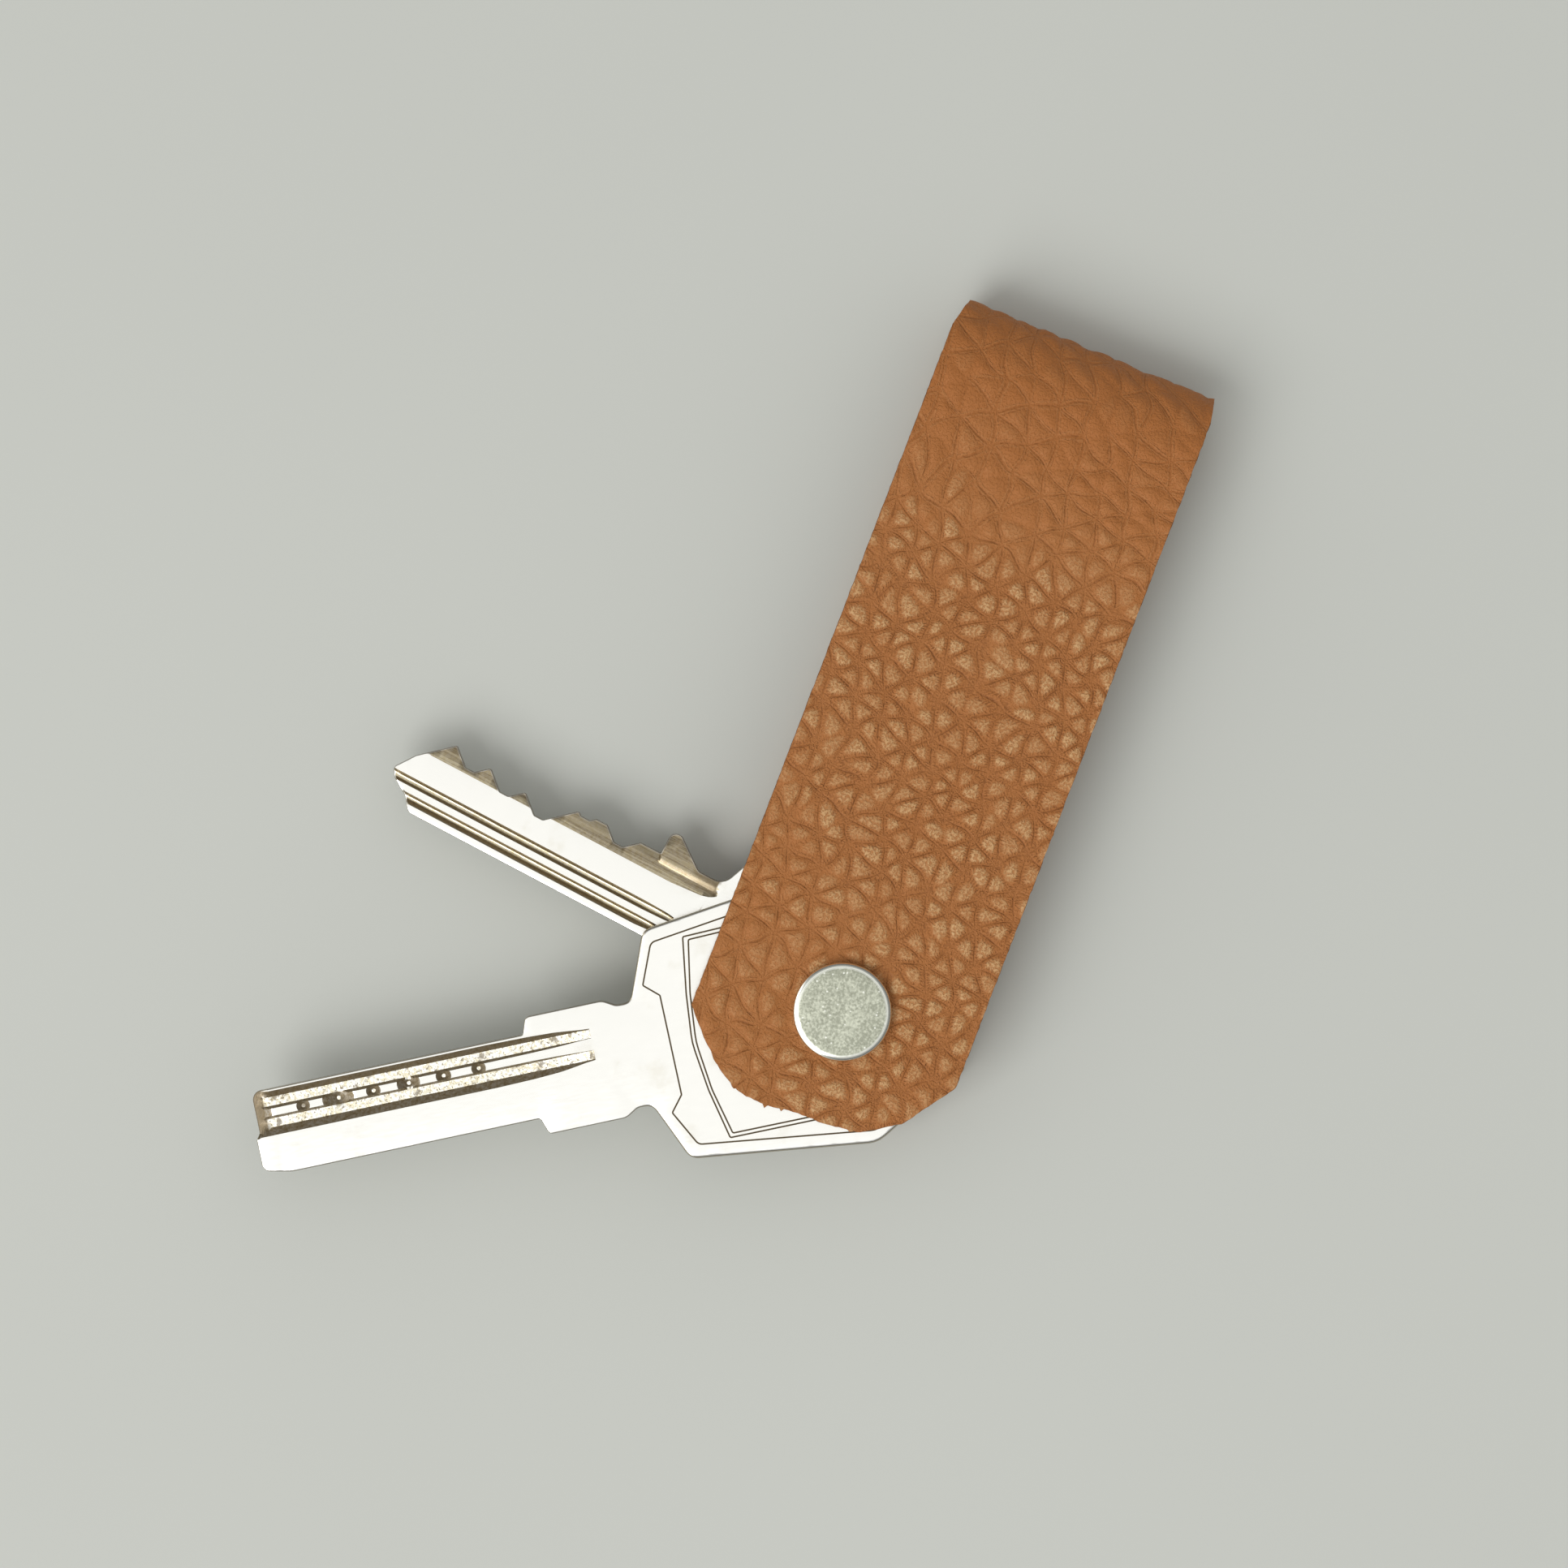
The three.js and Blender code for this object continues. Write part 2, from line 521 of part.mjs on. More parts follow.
function cutKey() {
  const tip = CUT_STOP_REACH + CUT_FIRST + (CUT_DEPTHS.length - 1) * CUT_PITCH + CUT_NOSE;
  const uncut = CUT_SPINE - CUT_BLADE_HEIGHT;
  const blank = solid(plate(cutKeyShape(tip, uncut), CUT_THICKNESS));
  const raised = (cutter) => cutter.translate(0, 0, CUT_THICKNESS);
  const above = CUT_GROOVES_ABOVE.map((line) => raised(cutKeyGroove(line, tip)));
  const turnedOver = (line) => cutKeyGroove({ ...line, edge: 2 * CUT_SPINE - line.edge - line.width }, tip);
  const below = CUT_GROOVES_BELOW.map((line) => turnedOver(line).rotateX(Math.PI));
  const stepTop = CUT_SPINE - CUT_STEP;
  const step = groove({
    from: CUT_STOP_REACH - CUT_SHOULDER_LENGTH,
    to: tip + PAST,
    ramp: CUT_GROOVE_RAMP,
    depth: CUT_GROOVE_DEPTH,
    floor: [uncut - CUT_SHOULDER - PAST, stepTop - CUT_GROOVE_SIDE],
    lean: [0, CUT_GROOVE_SIDE],
  });
  const hole = rod(HOLE_RADIUS, -PAST, CUT_THICKNESS + PAST, BORE_SEGMENTS);
  return cut(blank, [...above, ...below, raised(step), hole]);
}

const finishes = {
  leather: { color: 0xa96f44, roughness: 0.55, metalness: 0 },
  nickel: { color: 0xbcbfae, roughness: 0.45, metalness: 1 },
  keyMetal: { color: 0xe4e0d4, roughness: 0.25, metalness: 1 },
};

function piece(name, body, finish) {
  const mesh = new THREE.Mesh(geometryOf(body), new THREE.MeshStandardMaterial(finish));
  mesh.name = name;
  return mesh;
}

const dimpleArm = new THREE.Group();
dimpleArm.position.z = DIMPLE_KEY_Z;
dimpleArm.rotation.z = THREE.MathUtils.degToRad(DIMPLE_ANGLE);
dimpleArm.add(piece("dimple_key", dimpleKey(), finishes.keyMetal));

const cutArm = new THREE.Group();
cutArm.position.z = CUT_KEY_Z;
cutArm.rotation.z = THREE.MathUtils.degToRad(CUT_ANGLE);
cutArm.add(piece("cut_key", cutKey(), finishes.keyMetal));

const aboutPost = new THREE.Group();
aboutPost.position.set(-REST_X, -POST_OFFSET, 0);
aboutPost.add(piece("leather_strap", leatherStrap(), finishes.leather));
aboutPost.add(piece("binding_post", bindingPost(), finishes.nickel));
aboutPost.add(piece("binding_screw", bindingScrew(), finishes.nickel));
aboutPost.add(dimpleArm);
aboutPost.add(cutArm);

const keychain = new THREE.Group();
keychain.add(aboutPost);

export default keychain;
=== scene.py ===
"""Looks of a strap keychain: folded tan leather, a binding post and screw, and two keys.

Meshes are laid out in millimetres about the post's axis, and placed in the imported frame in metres.
"""

import json
import logging
import math
from collections.abc import Callable, Sequence
from dataclasses import dataclass, field
from enum import Enum

import bmesh
import bpy
import numpy as np
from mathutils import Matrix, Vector
from mathutils.geometry import delaunay_2d_cdt

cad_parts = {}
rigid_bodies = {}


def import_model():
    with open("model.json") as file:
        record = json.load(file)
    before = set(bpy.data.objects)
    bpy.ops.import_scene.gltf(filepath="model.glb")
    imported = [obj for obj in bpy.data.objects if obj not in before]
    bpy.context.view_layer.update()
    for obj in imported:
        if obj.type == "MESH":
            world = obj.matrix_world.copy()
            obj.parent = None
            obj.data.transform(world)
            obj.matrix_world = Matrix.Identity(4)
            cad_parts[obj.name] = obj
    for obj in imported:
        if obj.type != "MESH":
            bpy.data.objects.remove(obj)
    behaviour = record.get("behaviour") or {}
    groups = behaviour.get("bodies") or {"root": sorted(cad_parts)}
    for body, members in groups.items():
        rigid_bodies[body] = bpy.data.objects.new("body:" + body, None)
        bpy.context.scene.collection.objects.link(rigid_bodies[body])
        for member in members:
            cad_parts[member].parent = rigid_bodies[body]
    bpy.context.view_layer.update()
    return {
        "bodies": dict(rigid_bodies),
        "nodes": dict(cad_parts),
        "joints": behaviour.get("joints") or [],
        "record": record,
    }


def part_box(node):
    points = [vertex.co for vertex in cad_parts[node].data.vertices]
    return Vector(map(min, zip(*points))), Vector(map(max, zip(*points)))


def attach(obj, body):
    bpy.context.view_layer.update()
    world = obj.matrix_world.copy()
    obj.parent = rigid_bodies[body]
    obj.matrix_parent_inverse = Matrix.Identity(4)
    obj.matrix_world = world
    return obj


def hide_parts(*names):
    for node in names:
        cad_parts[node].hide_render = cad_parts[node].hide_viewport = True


LOG = logging.getLogger("strap_keychain")
MM = 0.001
TINY = 1e-12

Array = np.ndarray
Colour = tuple[float, float, float, float]
Point = tuple[float, float]
Triple = tuple[float, float, float]
Face = tuple[int, ...]
DepthAt = Callable[[Array, Array], Array]
Socket = bpy.types.NodeSocket


def screen(red: int, green: int, blue: int) -> Colour:
    """Turns a colour as a screen shows it into linear light.

    Args:
        red: From 0 to 255.
        green: From 0 to 255.
        blue: From 0 to 255.

    Returns:
        The linear colour with full alpha.
    """

    def linear(value: int) -> float:
        """Undoes the screen's curve for one channel."""
        share = value / 255
        return share / 12.92 if share <= 0.04045 else ((share + 0.055) / 1.055) ** 2.4

    return linear(red), linear(green), linear(blue), 1.0


def ease(low: float, high: float, value: Array) -> Array:
    """Rises smoothly from 0 at low to 1 at high, or falls where low lies above high.

    Args:
        low: Where the share is 0.
        high: Where it is 1.
        value: Places to look at.

    Returns:
        The share at each place.
    """
    share = np.clip((value - low) / (high - low), 0, 1)
    return share * share * (3 - 2 * share)


def unit(ways: Array) -> Array:
    """Brings ways to a length of 1."""
    return ways / np.linalg.norm(ways, axis=1)[:, None]


def left_of(ways: Array) -> Array:
    """Turns ways a quarter to the left."""
    return np.column_stack([-ways[:, 1], ways[:, 0]])


class Body(Enum):
    """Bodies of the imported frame."""

    STRAP = "strap"
    POST = "post"
    SCREW = "screw"
    UPPER_KEY = "upper_key"
    LOWER_KEY = "lower_key"


class Slot(Enum):
    """Material slots of the record."""

    LEATHER = "leather"
    NICKEL = "nickel"
    KEY_METAL = "key_metal"


class Mask(Enum):
    """Values and places that a mesh carries for its finish."""

    FLAT = "flat_place"
    CELL = "cell_place"
    DULL = "dull"
    STRETCH = "stretch"
    MILLED = "milled"
    ENGRAVED = "engraved"


@dataclass(frozen=True)
class Ramp:
    """A smooth climb from a start to an end as a value goes from low to high."""

    low: float
    high: float
    start: float = 0
    end: float = 1


@dataclass(frozen=True)
class Cloud:
    """A cloudy noise: clouds to a unit of length, levels of detail and their roughness."""

    scale: float
    detail: float = 3
    rough: float = 0.55


class Wire:
    """What comes out of a node, worked on by plain arithmetic."""

    def __init__(self, nodes: "Nodes", socket: Socket) -> None:
        """Takes the tree and the socket."""
        self.nodes = nodes
        self.socket = socket

    def __add__(self, other: "Source") -> "Wire":
        """Adds a value."""
        return self.nodes.maths("ADD", self, other)

    def __sub__(self, other: "Source") -> "Wire":
        """Takes a value from this one."""
        return self.nodes.maths("SUBTRACT", self, other)

    def __rsub__(self, other: "Source") -> "Wire":
        """Takes this value from another."""
        return self.nodes.maths("SUBTRACT", other, self)

    def __mul__(self, other: "Source") -> "Wire":
        """Multiplies by a value."""
        return self.nodes.maths("MULTIPLY", self, other)

    __radd__ = __add__

    def __abs__(self) -> "Wire":
        """Drops the sign."""
        return self.nodes.maths("ABSOLUTE", self)

    def most(self, other: "Source") -> "Wire":
        """Gives the larger of two values."""
        return self.nodes.maths("MAXIMUM", self, other)

    def up(self, ramp: Ramp) -> "Wire":
        """Carries the value up a ramp, and holds it at the ramp's ends."""
        inputs = {"Value": self, "From Min": ramp.low, "From Max": ramp.high}
        inputs |= {"To Min": ramp.start, "To Max": ramp.end}
        return self.nodes.out("ShaderNodeMapRange", inputs, "Result", interpolation_type="SMOOTHSTEP")


Source = Wire | Socket | float | Colour
Inputs = dict[str | int, Source]


class Nodes:
    """A tree of nodes, added and joined by short calls."""

    def __init__(self, tree: bpy.types.NodeTree) -> None:
        """Takes the tree to work in."""
        self.tree = tree

    def value(self, mask: Mask) -> Wire:
        """Gives a value that the mesh carries."""
        raise NotImplementedError

    def spot(self, mask: Mask) -> Wire:
        """Gives a place that the mesh carries."""
        raise NotImplementedError

    def feed(self, socket: Socket, source: Source) -> None:
        """Joins a source to a socket, or sets the socket's own value."""
        if isinstance(source, Wire):
            source = source.socket
        if isinstance(source, Socket):
            self.tree.links.new(source, socket)
        else:
            socket.default_value = source

    def node(self, kind: str, inputs: Inputs, **settings: object) -> bpy.types.Node:
        """Adds a node.

        Args:
            kind: Blender's name of the node's type.
            inputs: Sources or values of its inputs, by name or number.
            **settings: Plain properties of the node.

        Returns:
            The node.
        """
        made = self.tree.nodes.new(kind)
        for key, value in settings.items():
            setattr(made, key, value)
        for key, source in inputs.items():
            self.feed(made.inputs[key], source)
        return made

    def out(self, kind: str, inputs: Inputs, output: str | int, **settings: object) -> Wire:
        """Adds a node and gives one of its outputs, by name or number."""
        return Wire(self, self.node(kind, inputs, **settings).outputs[output])

    def maths(self, operation: str, *values: Source) -> Wire:
        """Works on values by one of Blender's operations."""
        return self.out("ShaderNodeMath", dict(enumerate(values)), "Value", operation=operation)

    def noise(self, place: Source, cloud: Cloud) -> Wire:
        """Gives cloudy noise between 0 and 1."""
        inputs = {"Vector": place, "Scale": cloud.scale, "Detail": cloud.detail, "Roughness": cloud.rough}
        return self.out("ShaderNodeTexNoise", inputs, "Fac")

    def spots(self, place: Source, scale: float) -> Wire:
        """Gives the distance to the nearest of many scattered points."""
        return self.out("ShaderNodeTexVoronoi", {"Vector": place, "Scale": scale}, "Distance")

    def luck(self, *indices: Source) -> Wire:
        """Draws a number between 0 and 1 for three indices."""
        spot = self.out("ShaderNodeCombineXYZ", dict(enumerate(indices)), "Vector")
        return self.out("ShaderNodeTexWhiteNoise", {"Vector": spot}, "Value", noise_dimensions="3D")

    def along(self, place: Source, way: Triple) -> Wire:
        """Measures a place along a way."""
        return self.out("ShaderNodeVectorMath", {0: place, 1: way}, "Value", operation="DOT_PRODUCT")

    def vector(self, operation: str, first: Source, second: Source | Triple) -> Wire:
        """Works on two vectors."""
        return self.out("ShaderNodeVectorMath", {0: first, 1: second}, "Vector", operation=operation)

    def upright(self, vector: Source) -> Wire:
        """Gives the Z of a vector."""
        return self.out("ShaderNodeSeparateXYZ", {"Vector": vector}, "Z")

    def blend(self, share: Source, first: Source, second: Source) -> Wire:
        """Mixes two colours by a share of the second."""
        return self.out("ShaderNodeMix", {0: share, 6: first, 7: second}, 2, data_type="RGBA")


class Shader(Nodes):
    """The nodes of one material."""

    def __init__(self, name: str) -> None:
        """Starts a material with its surface shader."""
        self.material = bpy.data.materials.new(name)
        self.material.use_nodes = True
        super().__init__(self.material.node_tree)
        self.surface = self.tree.nodes["Principled BSDF"]

    def value(self, mask: Mask) -> Wire:
        """Gives a value that the mesh carries."""
        return self.out("ShaderNodeAttribute", {}, "Fac", attribute_name=mask.value)

    def spot(self, mask: Mask) -> Wire:
        """Gives a place that the mesh carries."""
        return self.out("ShaderNodeAttribute", {}, "Vector", attribute_name=mask.value)

    def surface_value(self, name: str, source: Source) -> None:
        """Feeds one input of the surface shader."""
        self.feed(self.surface.inputs[name], source)

    def place(self) -> Wire:
        """Gives the place on the piece, in metres."""
        return self.out("ShaderNodeTexCoord", {}, "Object")

    def drawn_place(self, degrees: float, share: float) -> Wire:
        """Gives the place on the piece, turned about Z and drawn out along the turned X.

        Args:
            degrees: Turn that brings the piece's length onto X.
            share: What is left of a length along X.

        Returns:
            The place.
        """
        turn = (0, 0, math.radians(-degrees))
        turned = self.out("ShaderNodeMapping", {"Vector": self.place(), "Rotation": turn}, "Vector")
        return self.vector("MULTIPLY", turned, (share, 1, 1))

    def bump(self, height: Source, depth: float, under: Wire | None = None) -> Wire:
        """Raises the surface by a height between 0 and 1.

        Args:
            height: The height's source.
            depth: How high 1 stands, in millimetres.
            under: An earlier bump to add to.

        Returns:
            The bumped normal.
        """
        inputs = {"Height": height, "Distance": depth * MM}
        if under is not None:
            inputs["Normal"] = under
        return self.out("ShaderNodeBump", inputs, "Normal")

    def steepness(self) -> Wire:
        """Gives 0 on level faces and 1 on upright ones."""
        return 1.0 - abs(self.upright(self.out("ShaderNodeNewGeometry", {}, "True Normal")))


class Sampler(Nodes):
    """A tree that reads a pattern at points, so that a mesh can take its shape."""

    RESULT = "height"

    def __init__(self, name: str) -> None:
        """Starts a tree that hands its points on."""
        super().__init__(bpy.data.node_groups.new(name, "GeometryNodeTree"))
        for way in ("INPUT", "OUTPUT"):
            self.tree.interface.new_socket("Geometry", in_out=way, socket_type="NodeSocketGeometry")

    def carried(self, mask: Mask, kind: str) -> Wire:
        """Reads what the points carry."""
        inputs = {"Name": mask.value}
        return self.out("GeometryNodeInputNamedAttribute", inputs, "Attribute", data_type=kind)

    def value(self, mask: Mask) -> Wire:
        """Gives a value that the points carry."""
        return self.carried(mask, "FLOAT")

    def spot(self, mask: Mask) -> Wire:
        """Gives a place that the points carry."""
        return self.carried(mask, "FLOAT_VECTOR")

    def read(self, height: Wire, masks: dict[Mask, Array]) -> Array:
        """Reads the height at points.

        Args:
            height: What to read.
            masks: What the points carry.

        Returns:
            The height at each point.
        """
        inputs = {"Geometry": self.out("NodeGroupInput", {}, 0), "Name": self.RESULT, "Value": height}
        stored = self.out("GeometryNodeStoreNamedAttribute", inputs, 0, data_type="FLOAT", domain="POINT")
        self.node("NodeGroupOutput", {0: stored})
        mesh = bpy.data.meshes.new("grain_points")
        mesh.vertices.add(len(masks[Mask.FLAT]))
        holder = bpy.data.objects.new("grain_points", mesh)
        bpy.context.scene.collection.objects.link(holder)
        for mask, values in masks.items():
            carry(holder, mask, values)
        holder.modifiers.new("grain", "NODES").node_group = self.tree
        shaped = holder.evaluated_get(bpy.context.evaluated_depsgraph_get()).data
        heights = np.zeros(len(mesh.vertices), np.float32)
        shaped.attributes[self.RESULT].data.foreach_get("value", heights)
        bpy.data.objects.remove(holder)
        bpy.data.meshes.remove(mesh)
        bpy.data.node_groups.remove(self.tree)
        return heights.astype(float)


@dataclass
class Lattice:
    """The three ways of creases as a place sees them, with lengths in millimetres.

    Attributes:
        place, stretch: Place on the flat cut, and share of the fold's stretch.
        lively, wobble: Share of the grain's full contrast, and soft noise about 0.
        counts, offs: Creases counted across each way, and rows to the nearest one.
        sizes, looks: Two numbers drawn for each pebble.
        room, mound: Length to the nearest crease, and the same rounded off between creases.
        wide, ball: Rows to the farthest crease, and length to the edge of the triangle's circle.
    """

    place: Wire
    stretch: Wire
    lively: Wire
    wobble: Wire
    counts: list[Wire]
    offs: list[Wire]
    sizes: Wire
    looks: Wire
    room: Wire
    mound: Wire
    wide: Wire
    ball: Wire


@dataclass
class Pattern:
    """The leather's grain: dome and fine height, and masks of the crests' painted highlight, the creases
    and the streaks.
    """

    dome: Wire
    fine: Wire
    crest_highlight: Wire
    crease: Wire
    streak: Wire


@dataclass(frozen=True)
class Creases:
    """How the creases and the wrinkles beside them are drawn."""

    seam: Ramp = Ramp(0.01, 0.1, 1, 0)
    seam_wobble: float = 0.08
    hub: Ramp = Ramp(0.3, 0.95, 0.45, 1)
    hub_wobble: float = 0.3
    twin: Ramp = Ramp(0.0, 0.07, 0.9, 0)
    twin_gap: float = 0.27
    twin_wobble: float = 0.5
    twin_cloud: Cloud = Cloud(0.8, 1)
    twin_share: Ramp = Ramp(0.4, 0.52)
    flank_top: Ramp = Ramp(0.3, 0.6, 0.75, 0)
    flank_foot: Ramp = Ramp(0.06, 0.2)
    flank_lively: Ramp = Ramp(0.3, 0.8)
    comb_count: float = 5.0
    comb_wobble: float = 2.5
    comb_near: Ramp = Ramp(0.0, 0.25, 1, 0)
    tooth: Ramp = Ramp(0.04, 0.3, 1, 0)
    patches: Cloud = Cloud(0.55, 2)
    patchy: Ramp = Ramp(0.36, 0.62, 0.55, 1)
    stretched: Ramp = Ramp(0, 1, 1, 0.8)
    dull: Ramp = Ramp(0, 1, 0.6, 1)
    lip_foot: Ramp = Ramp(0.1, 0.17)
    lip_top: Ramp = Ramp(0.19, 0.36, 0.3, 0)


@dataclass(frozen=True)
class Pebbles:
    """How the pebbles rise between the creases, and where their crests are painted pale as a sheen
    highlight.
    """

    roundness: Ramp = Ramp(0.2, 0.8, 0.9, 0.4)
    rise: Ramp = Ramp(-0.4, 0.85)
    tall_luck: Ramp = Ramp(0, 1, 0.7, 1.1)
    tall_dull: Ramp = Ramp(0, 1, 1.5, 1)
    tall_fold: Ramp = Ramp(0.6, 1, 1, 0.85)
    # The pale ramps place the painted sheen highlight on the crests.
    pale: Ramp = Ramp(-0.3, 0.95)
    pale_lively: float = 1.3
    pale_luck: float = 0.5
    pale_size: Ramp = Ramp(0, 1, 0.55, 1)
    swell_wobble: float = 0.4
    swell_luck: float = 0.25
    clear: Ramp = Ramp(0.1, 0.5)
    clear_swell: float = 0.6
    crest_highlight: Ramp = Ramp(-0.25, 0.38)
    lip_pale: float = 0.45
    streaks: Cloud = Cloud(3.2, 2, 0.6)
    streaked: Ramp = Ramp(0.4, 0.56)


@dataclass(frozen=True)
class Grain:
    """Pebbled grain of the leather, one pattern for its shape and its finish.

    Creases run three ways across the leather and meet at hubs. A pebble rises in each triangle.
    """

    rows: float = 3.0
    bearings: tuple[int, int, int] = (20, 80, 140)
    widened: float = 0.12
    slant: float = 0.3
    sways: tuple[Point, ...] = ((0.08, 1.1), (0.27, 0.6))
    sway_shift: float = 50.0
    wobble: Cloud = Cloud(1.3, 2)
    luck_lane: float = 5.5
    stretch_wear: float = 0.25
    weak: Ramp = Ramp(0.8, 1.0, 0, 0.4)
    rounding: float = 0.8
    far: float = 9.0
    dome: float = 0.22
    fine: float = 0.07
    creases: Creases = Creases()
    pebbles: Pebbles = Pebbles()

    def cell_place(self, flat: Array, stretch: Array) -> Array:
        """Spreads the flat cut out where the fold stretches it.

        Args:
            flat: Places on the flat cut.
            stretch: Share of the fold's stretch at each place.

        Returns:
            Places on the cut as the grain counts them, in millimetres.
        """
        across = flat[:, 1] / (1 + self.widened * stretch)
        return np.column_stack([flat[:, 0] + self.slant * across * stretch, across])

    def counts(self, nodes: Nodes) -> list[Wire]:
        """Counts creases across each of the three ways, in rows that sway.

        Args:
            nodes: The tree to work in.

        Returns:
            The count each way.
        """
        place = nodes.vector("MULTIPLY", nodes.spot(Mask.CELL), (1 / self.rows, 1 / self.rows, 1))
        for number, (scale, size) in enumerate(self.sways):
            shift = self.sway_shift * number
            spot = nodes.vector("ADD", nodes.spot(Mask.FLAT), (shift, shift, 0))
            inputs = {"Vector": spot, "Scale": scale, "Detail": 0.0}
            cloud = nodes.out("ShaderNodeTexNoise", inputs, "Color")
            sway = nodes.vector("SUBTRACT", cloud, (0.5, 0.5, 0.5))
            place = nodes.vector("ADD", place, nodes.vector("MULTIPLY", sway, (size, size, 0)))
        ways = [(math.cos(math.radians(way)), math.sin(math.radians(way)), 0) for way in self.bearings]
        return [nodes.along(place, way) for way in ways]

    def lattice(self, nodes: Nodes) -> Lattice:
        """Measures each place against the creases round it.

        With each distance in rows taken from half a row, the three squares add up to 1/12 in the
        middle of a triangle, and grow with the square of the distance from there.

        Args:
            nodes: The tree of a finish or of a sampler.

        Returns:
            The lattice.
        """
        place = nodes.spot(Mask.FLAT)
        stretch = nodes.value(Mask.STRETCH)
        counts = self.counts(nodes)
        floors = [nodes.maths("FLOOR", count) for count in counts]
        offs = [nodes.maths("PINGPONG", count, 0.5) for count in counts]
        room: Source = self.far
        mound: Source = self.far
        wide: Source = 0.0
        spread: Source = -1 / 18
        for number, (count, off) in enumerate(zip(counts, offs)):
            nearest = nodes.maths("ROUND", count)
            piece = nodes.luck(nearest, floors[(number + 1) % 3], self.luck_lane + number)
            crease = off * self.rows + (piece + stretch * self.stretch_wear).up(self.weak)
            room = nodes.maths("MINIMUM", room, crease)
            mound = nodes.maths("SMOOTH_MIN", mound, crease, self.rounding)
            wide = off.most(wide)
            aside = off - 0.5
            spread = spread + aside * aside * (2 / 3)
        return Lattice(
            place=place,
            stretch=stretch,
            lively=1.0 - nodes.value(Mask.DULL),
            wobble=nodes.noise(place, self.wobble) - 0.5,
            counts=counts,
            offs=offs,
            sizes=nodes.luck(*floors),
            looks=nodes.luck(*floors[::-1]),
            room=room,
            mound=mound,
            wide=wide,
            ball=self.rows / 3 - nodes.maths("POWER", spread.most(0.0), 0.5) * self.rows,
        )

    def comb(self, nodes: Nodes, net: Lattice) -> Wire:
        """Draws the fine wrinkles that run up the pebbles' flanks from each crease.

        Args:
            nodes: The tree to work in.
            net: The lattice of creases.

        Returns:
            1 on a wrinkle and 0 off it.
        """
        drawn = self.creases
        first, second, third = net.counts
        comb: Source = 0.0
        for off, run in zip(net.offs, (second + third, third - first, first + second)):
            step = run * drawn.comb_count + net.wobble * drawn.comb_wobble
            tooth = nodes.maths("PINGPONG", step, 0.5).up(drawn.tooth)
            comb = (tooth * (off * self.rows - net.room).up(drawn.comb_near)).most(comb)
        return comb

    def lines(self, nodes: Nodes, net: Lattice) -> Wire:
        """Draws the creases, their twins over the fold and the wrinkles on the flanks.

        Args:
            nodes: The tree to work in.
            net: The lattice of creases.

        Returns:
            1 in the deepest crease and 0 off the lines.
        """
        drawn = self.creases
        hub = (net.wide * self.rows + net.wobble * drawn.hub_wobble).up(drawn.hub)
        seam = (net.room + net.wobble * drawn.seam_wobble).up(drawn.seam) * hub
        twin = abs(net.room + net.wobble * drawn.twin_wobble - drawn.twin_gap).up(drawn.twin)
        twin = twin * nodes.noise(net.place, drawn.twin_cloud).up(drawn.twin_share) * (1.0 - net.lively)
        flank = net.room.up(drawn.flank_top) * net.room.up(drawn.flank_foot)
        flank = flank * net.lively.up(drawn.flank_lively)
        deep = nodes.noise(net.place, drawn.patches).up(drawn.patchy) * net.stretch.up(drawn.stretched)
        deep = deep * net.lively.up(drawn.dull)
        return deep * seam.most(twin).most(self.comb(nodes, net) * flank)

    def pattern(self, nodes: Nodes) -> Pattern:
        """Adds the pebbles, the creases between them and the wrinkles on their flanks to a tree.

        Args:
            nodes: The tree of a finish or of a sampler.

        Returns:
            The pattern.
        """
        net = self.lattice(nodes)
        line = self.lines(nodes, net)
        form = self.pebbles
        share = net.stretch.up(form.roundness)
        mound = net.mound * (1.0 - share) + net.ball * share
        tall = net.sizes.up(form.tall_luck) * net.lively.up(form.tall_dull) * net.stretch.up(form.tall_fold)
        chosen = net.lively * form.pale_lively - net.looks * form.pale_luck
        bright = chosen.up(form.pale) * net.sizes.up(form.pale_size)
        swell = net.wobble * form.swell_wobble - net.looks * form.swell_luck
        clear = (net.room + swell * form.clear_swell).up(form.clear)
        crest_highlight = (net.ball + swell).up(form.crest_highlight) * clear * bright
        lip = net.room.up(self.creases.lip_foot) * net.room.up(self.creases.lip_top)
        # Over the fold the lips beside the creases also take the pale painted highlight.
        crest_highlight = crest_highlight.most(lip * (1.0 - net.lively) * form.lip_pale)
        streak = nodes.noise(net.place, form.streaks).up(form.streaked)
        return Pattern(mound.up(form.rise) * tall, lip - line, crest_highlight, line, streak)


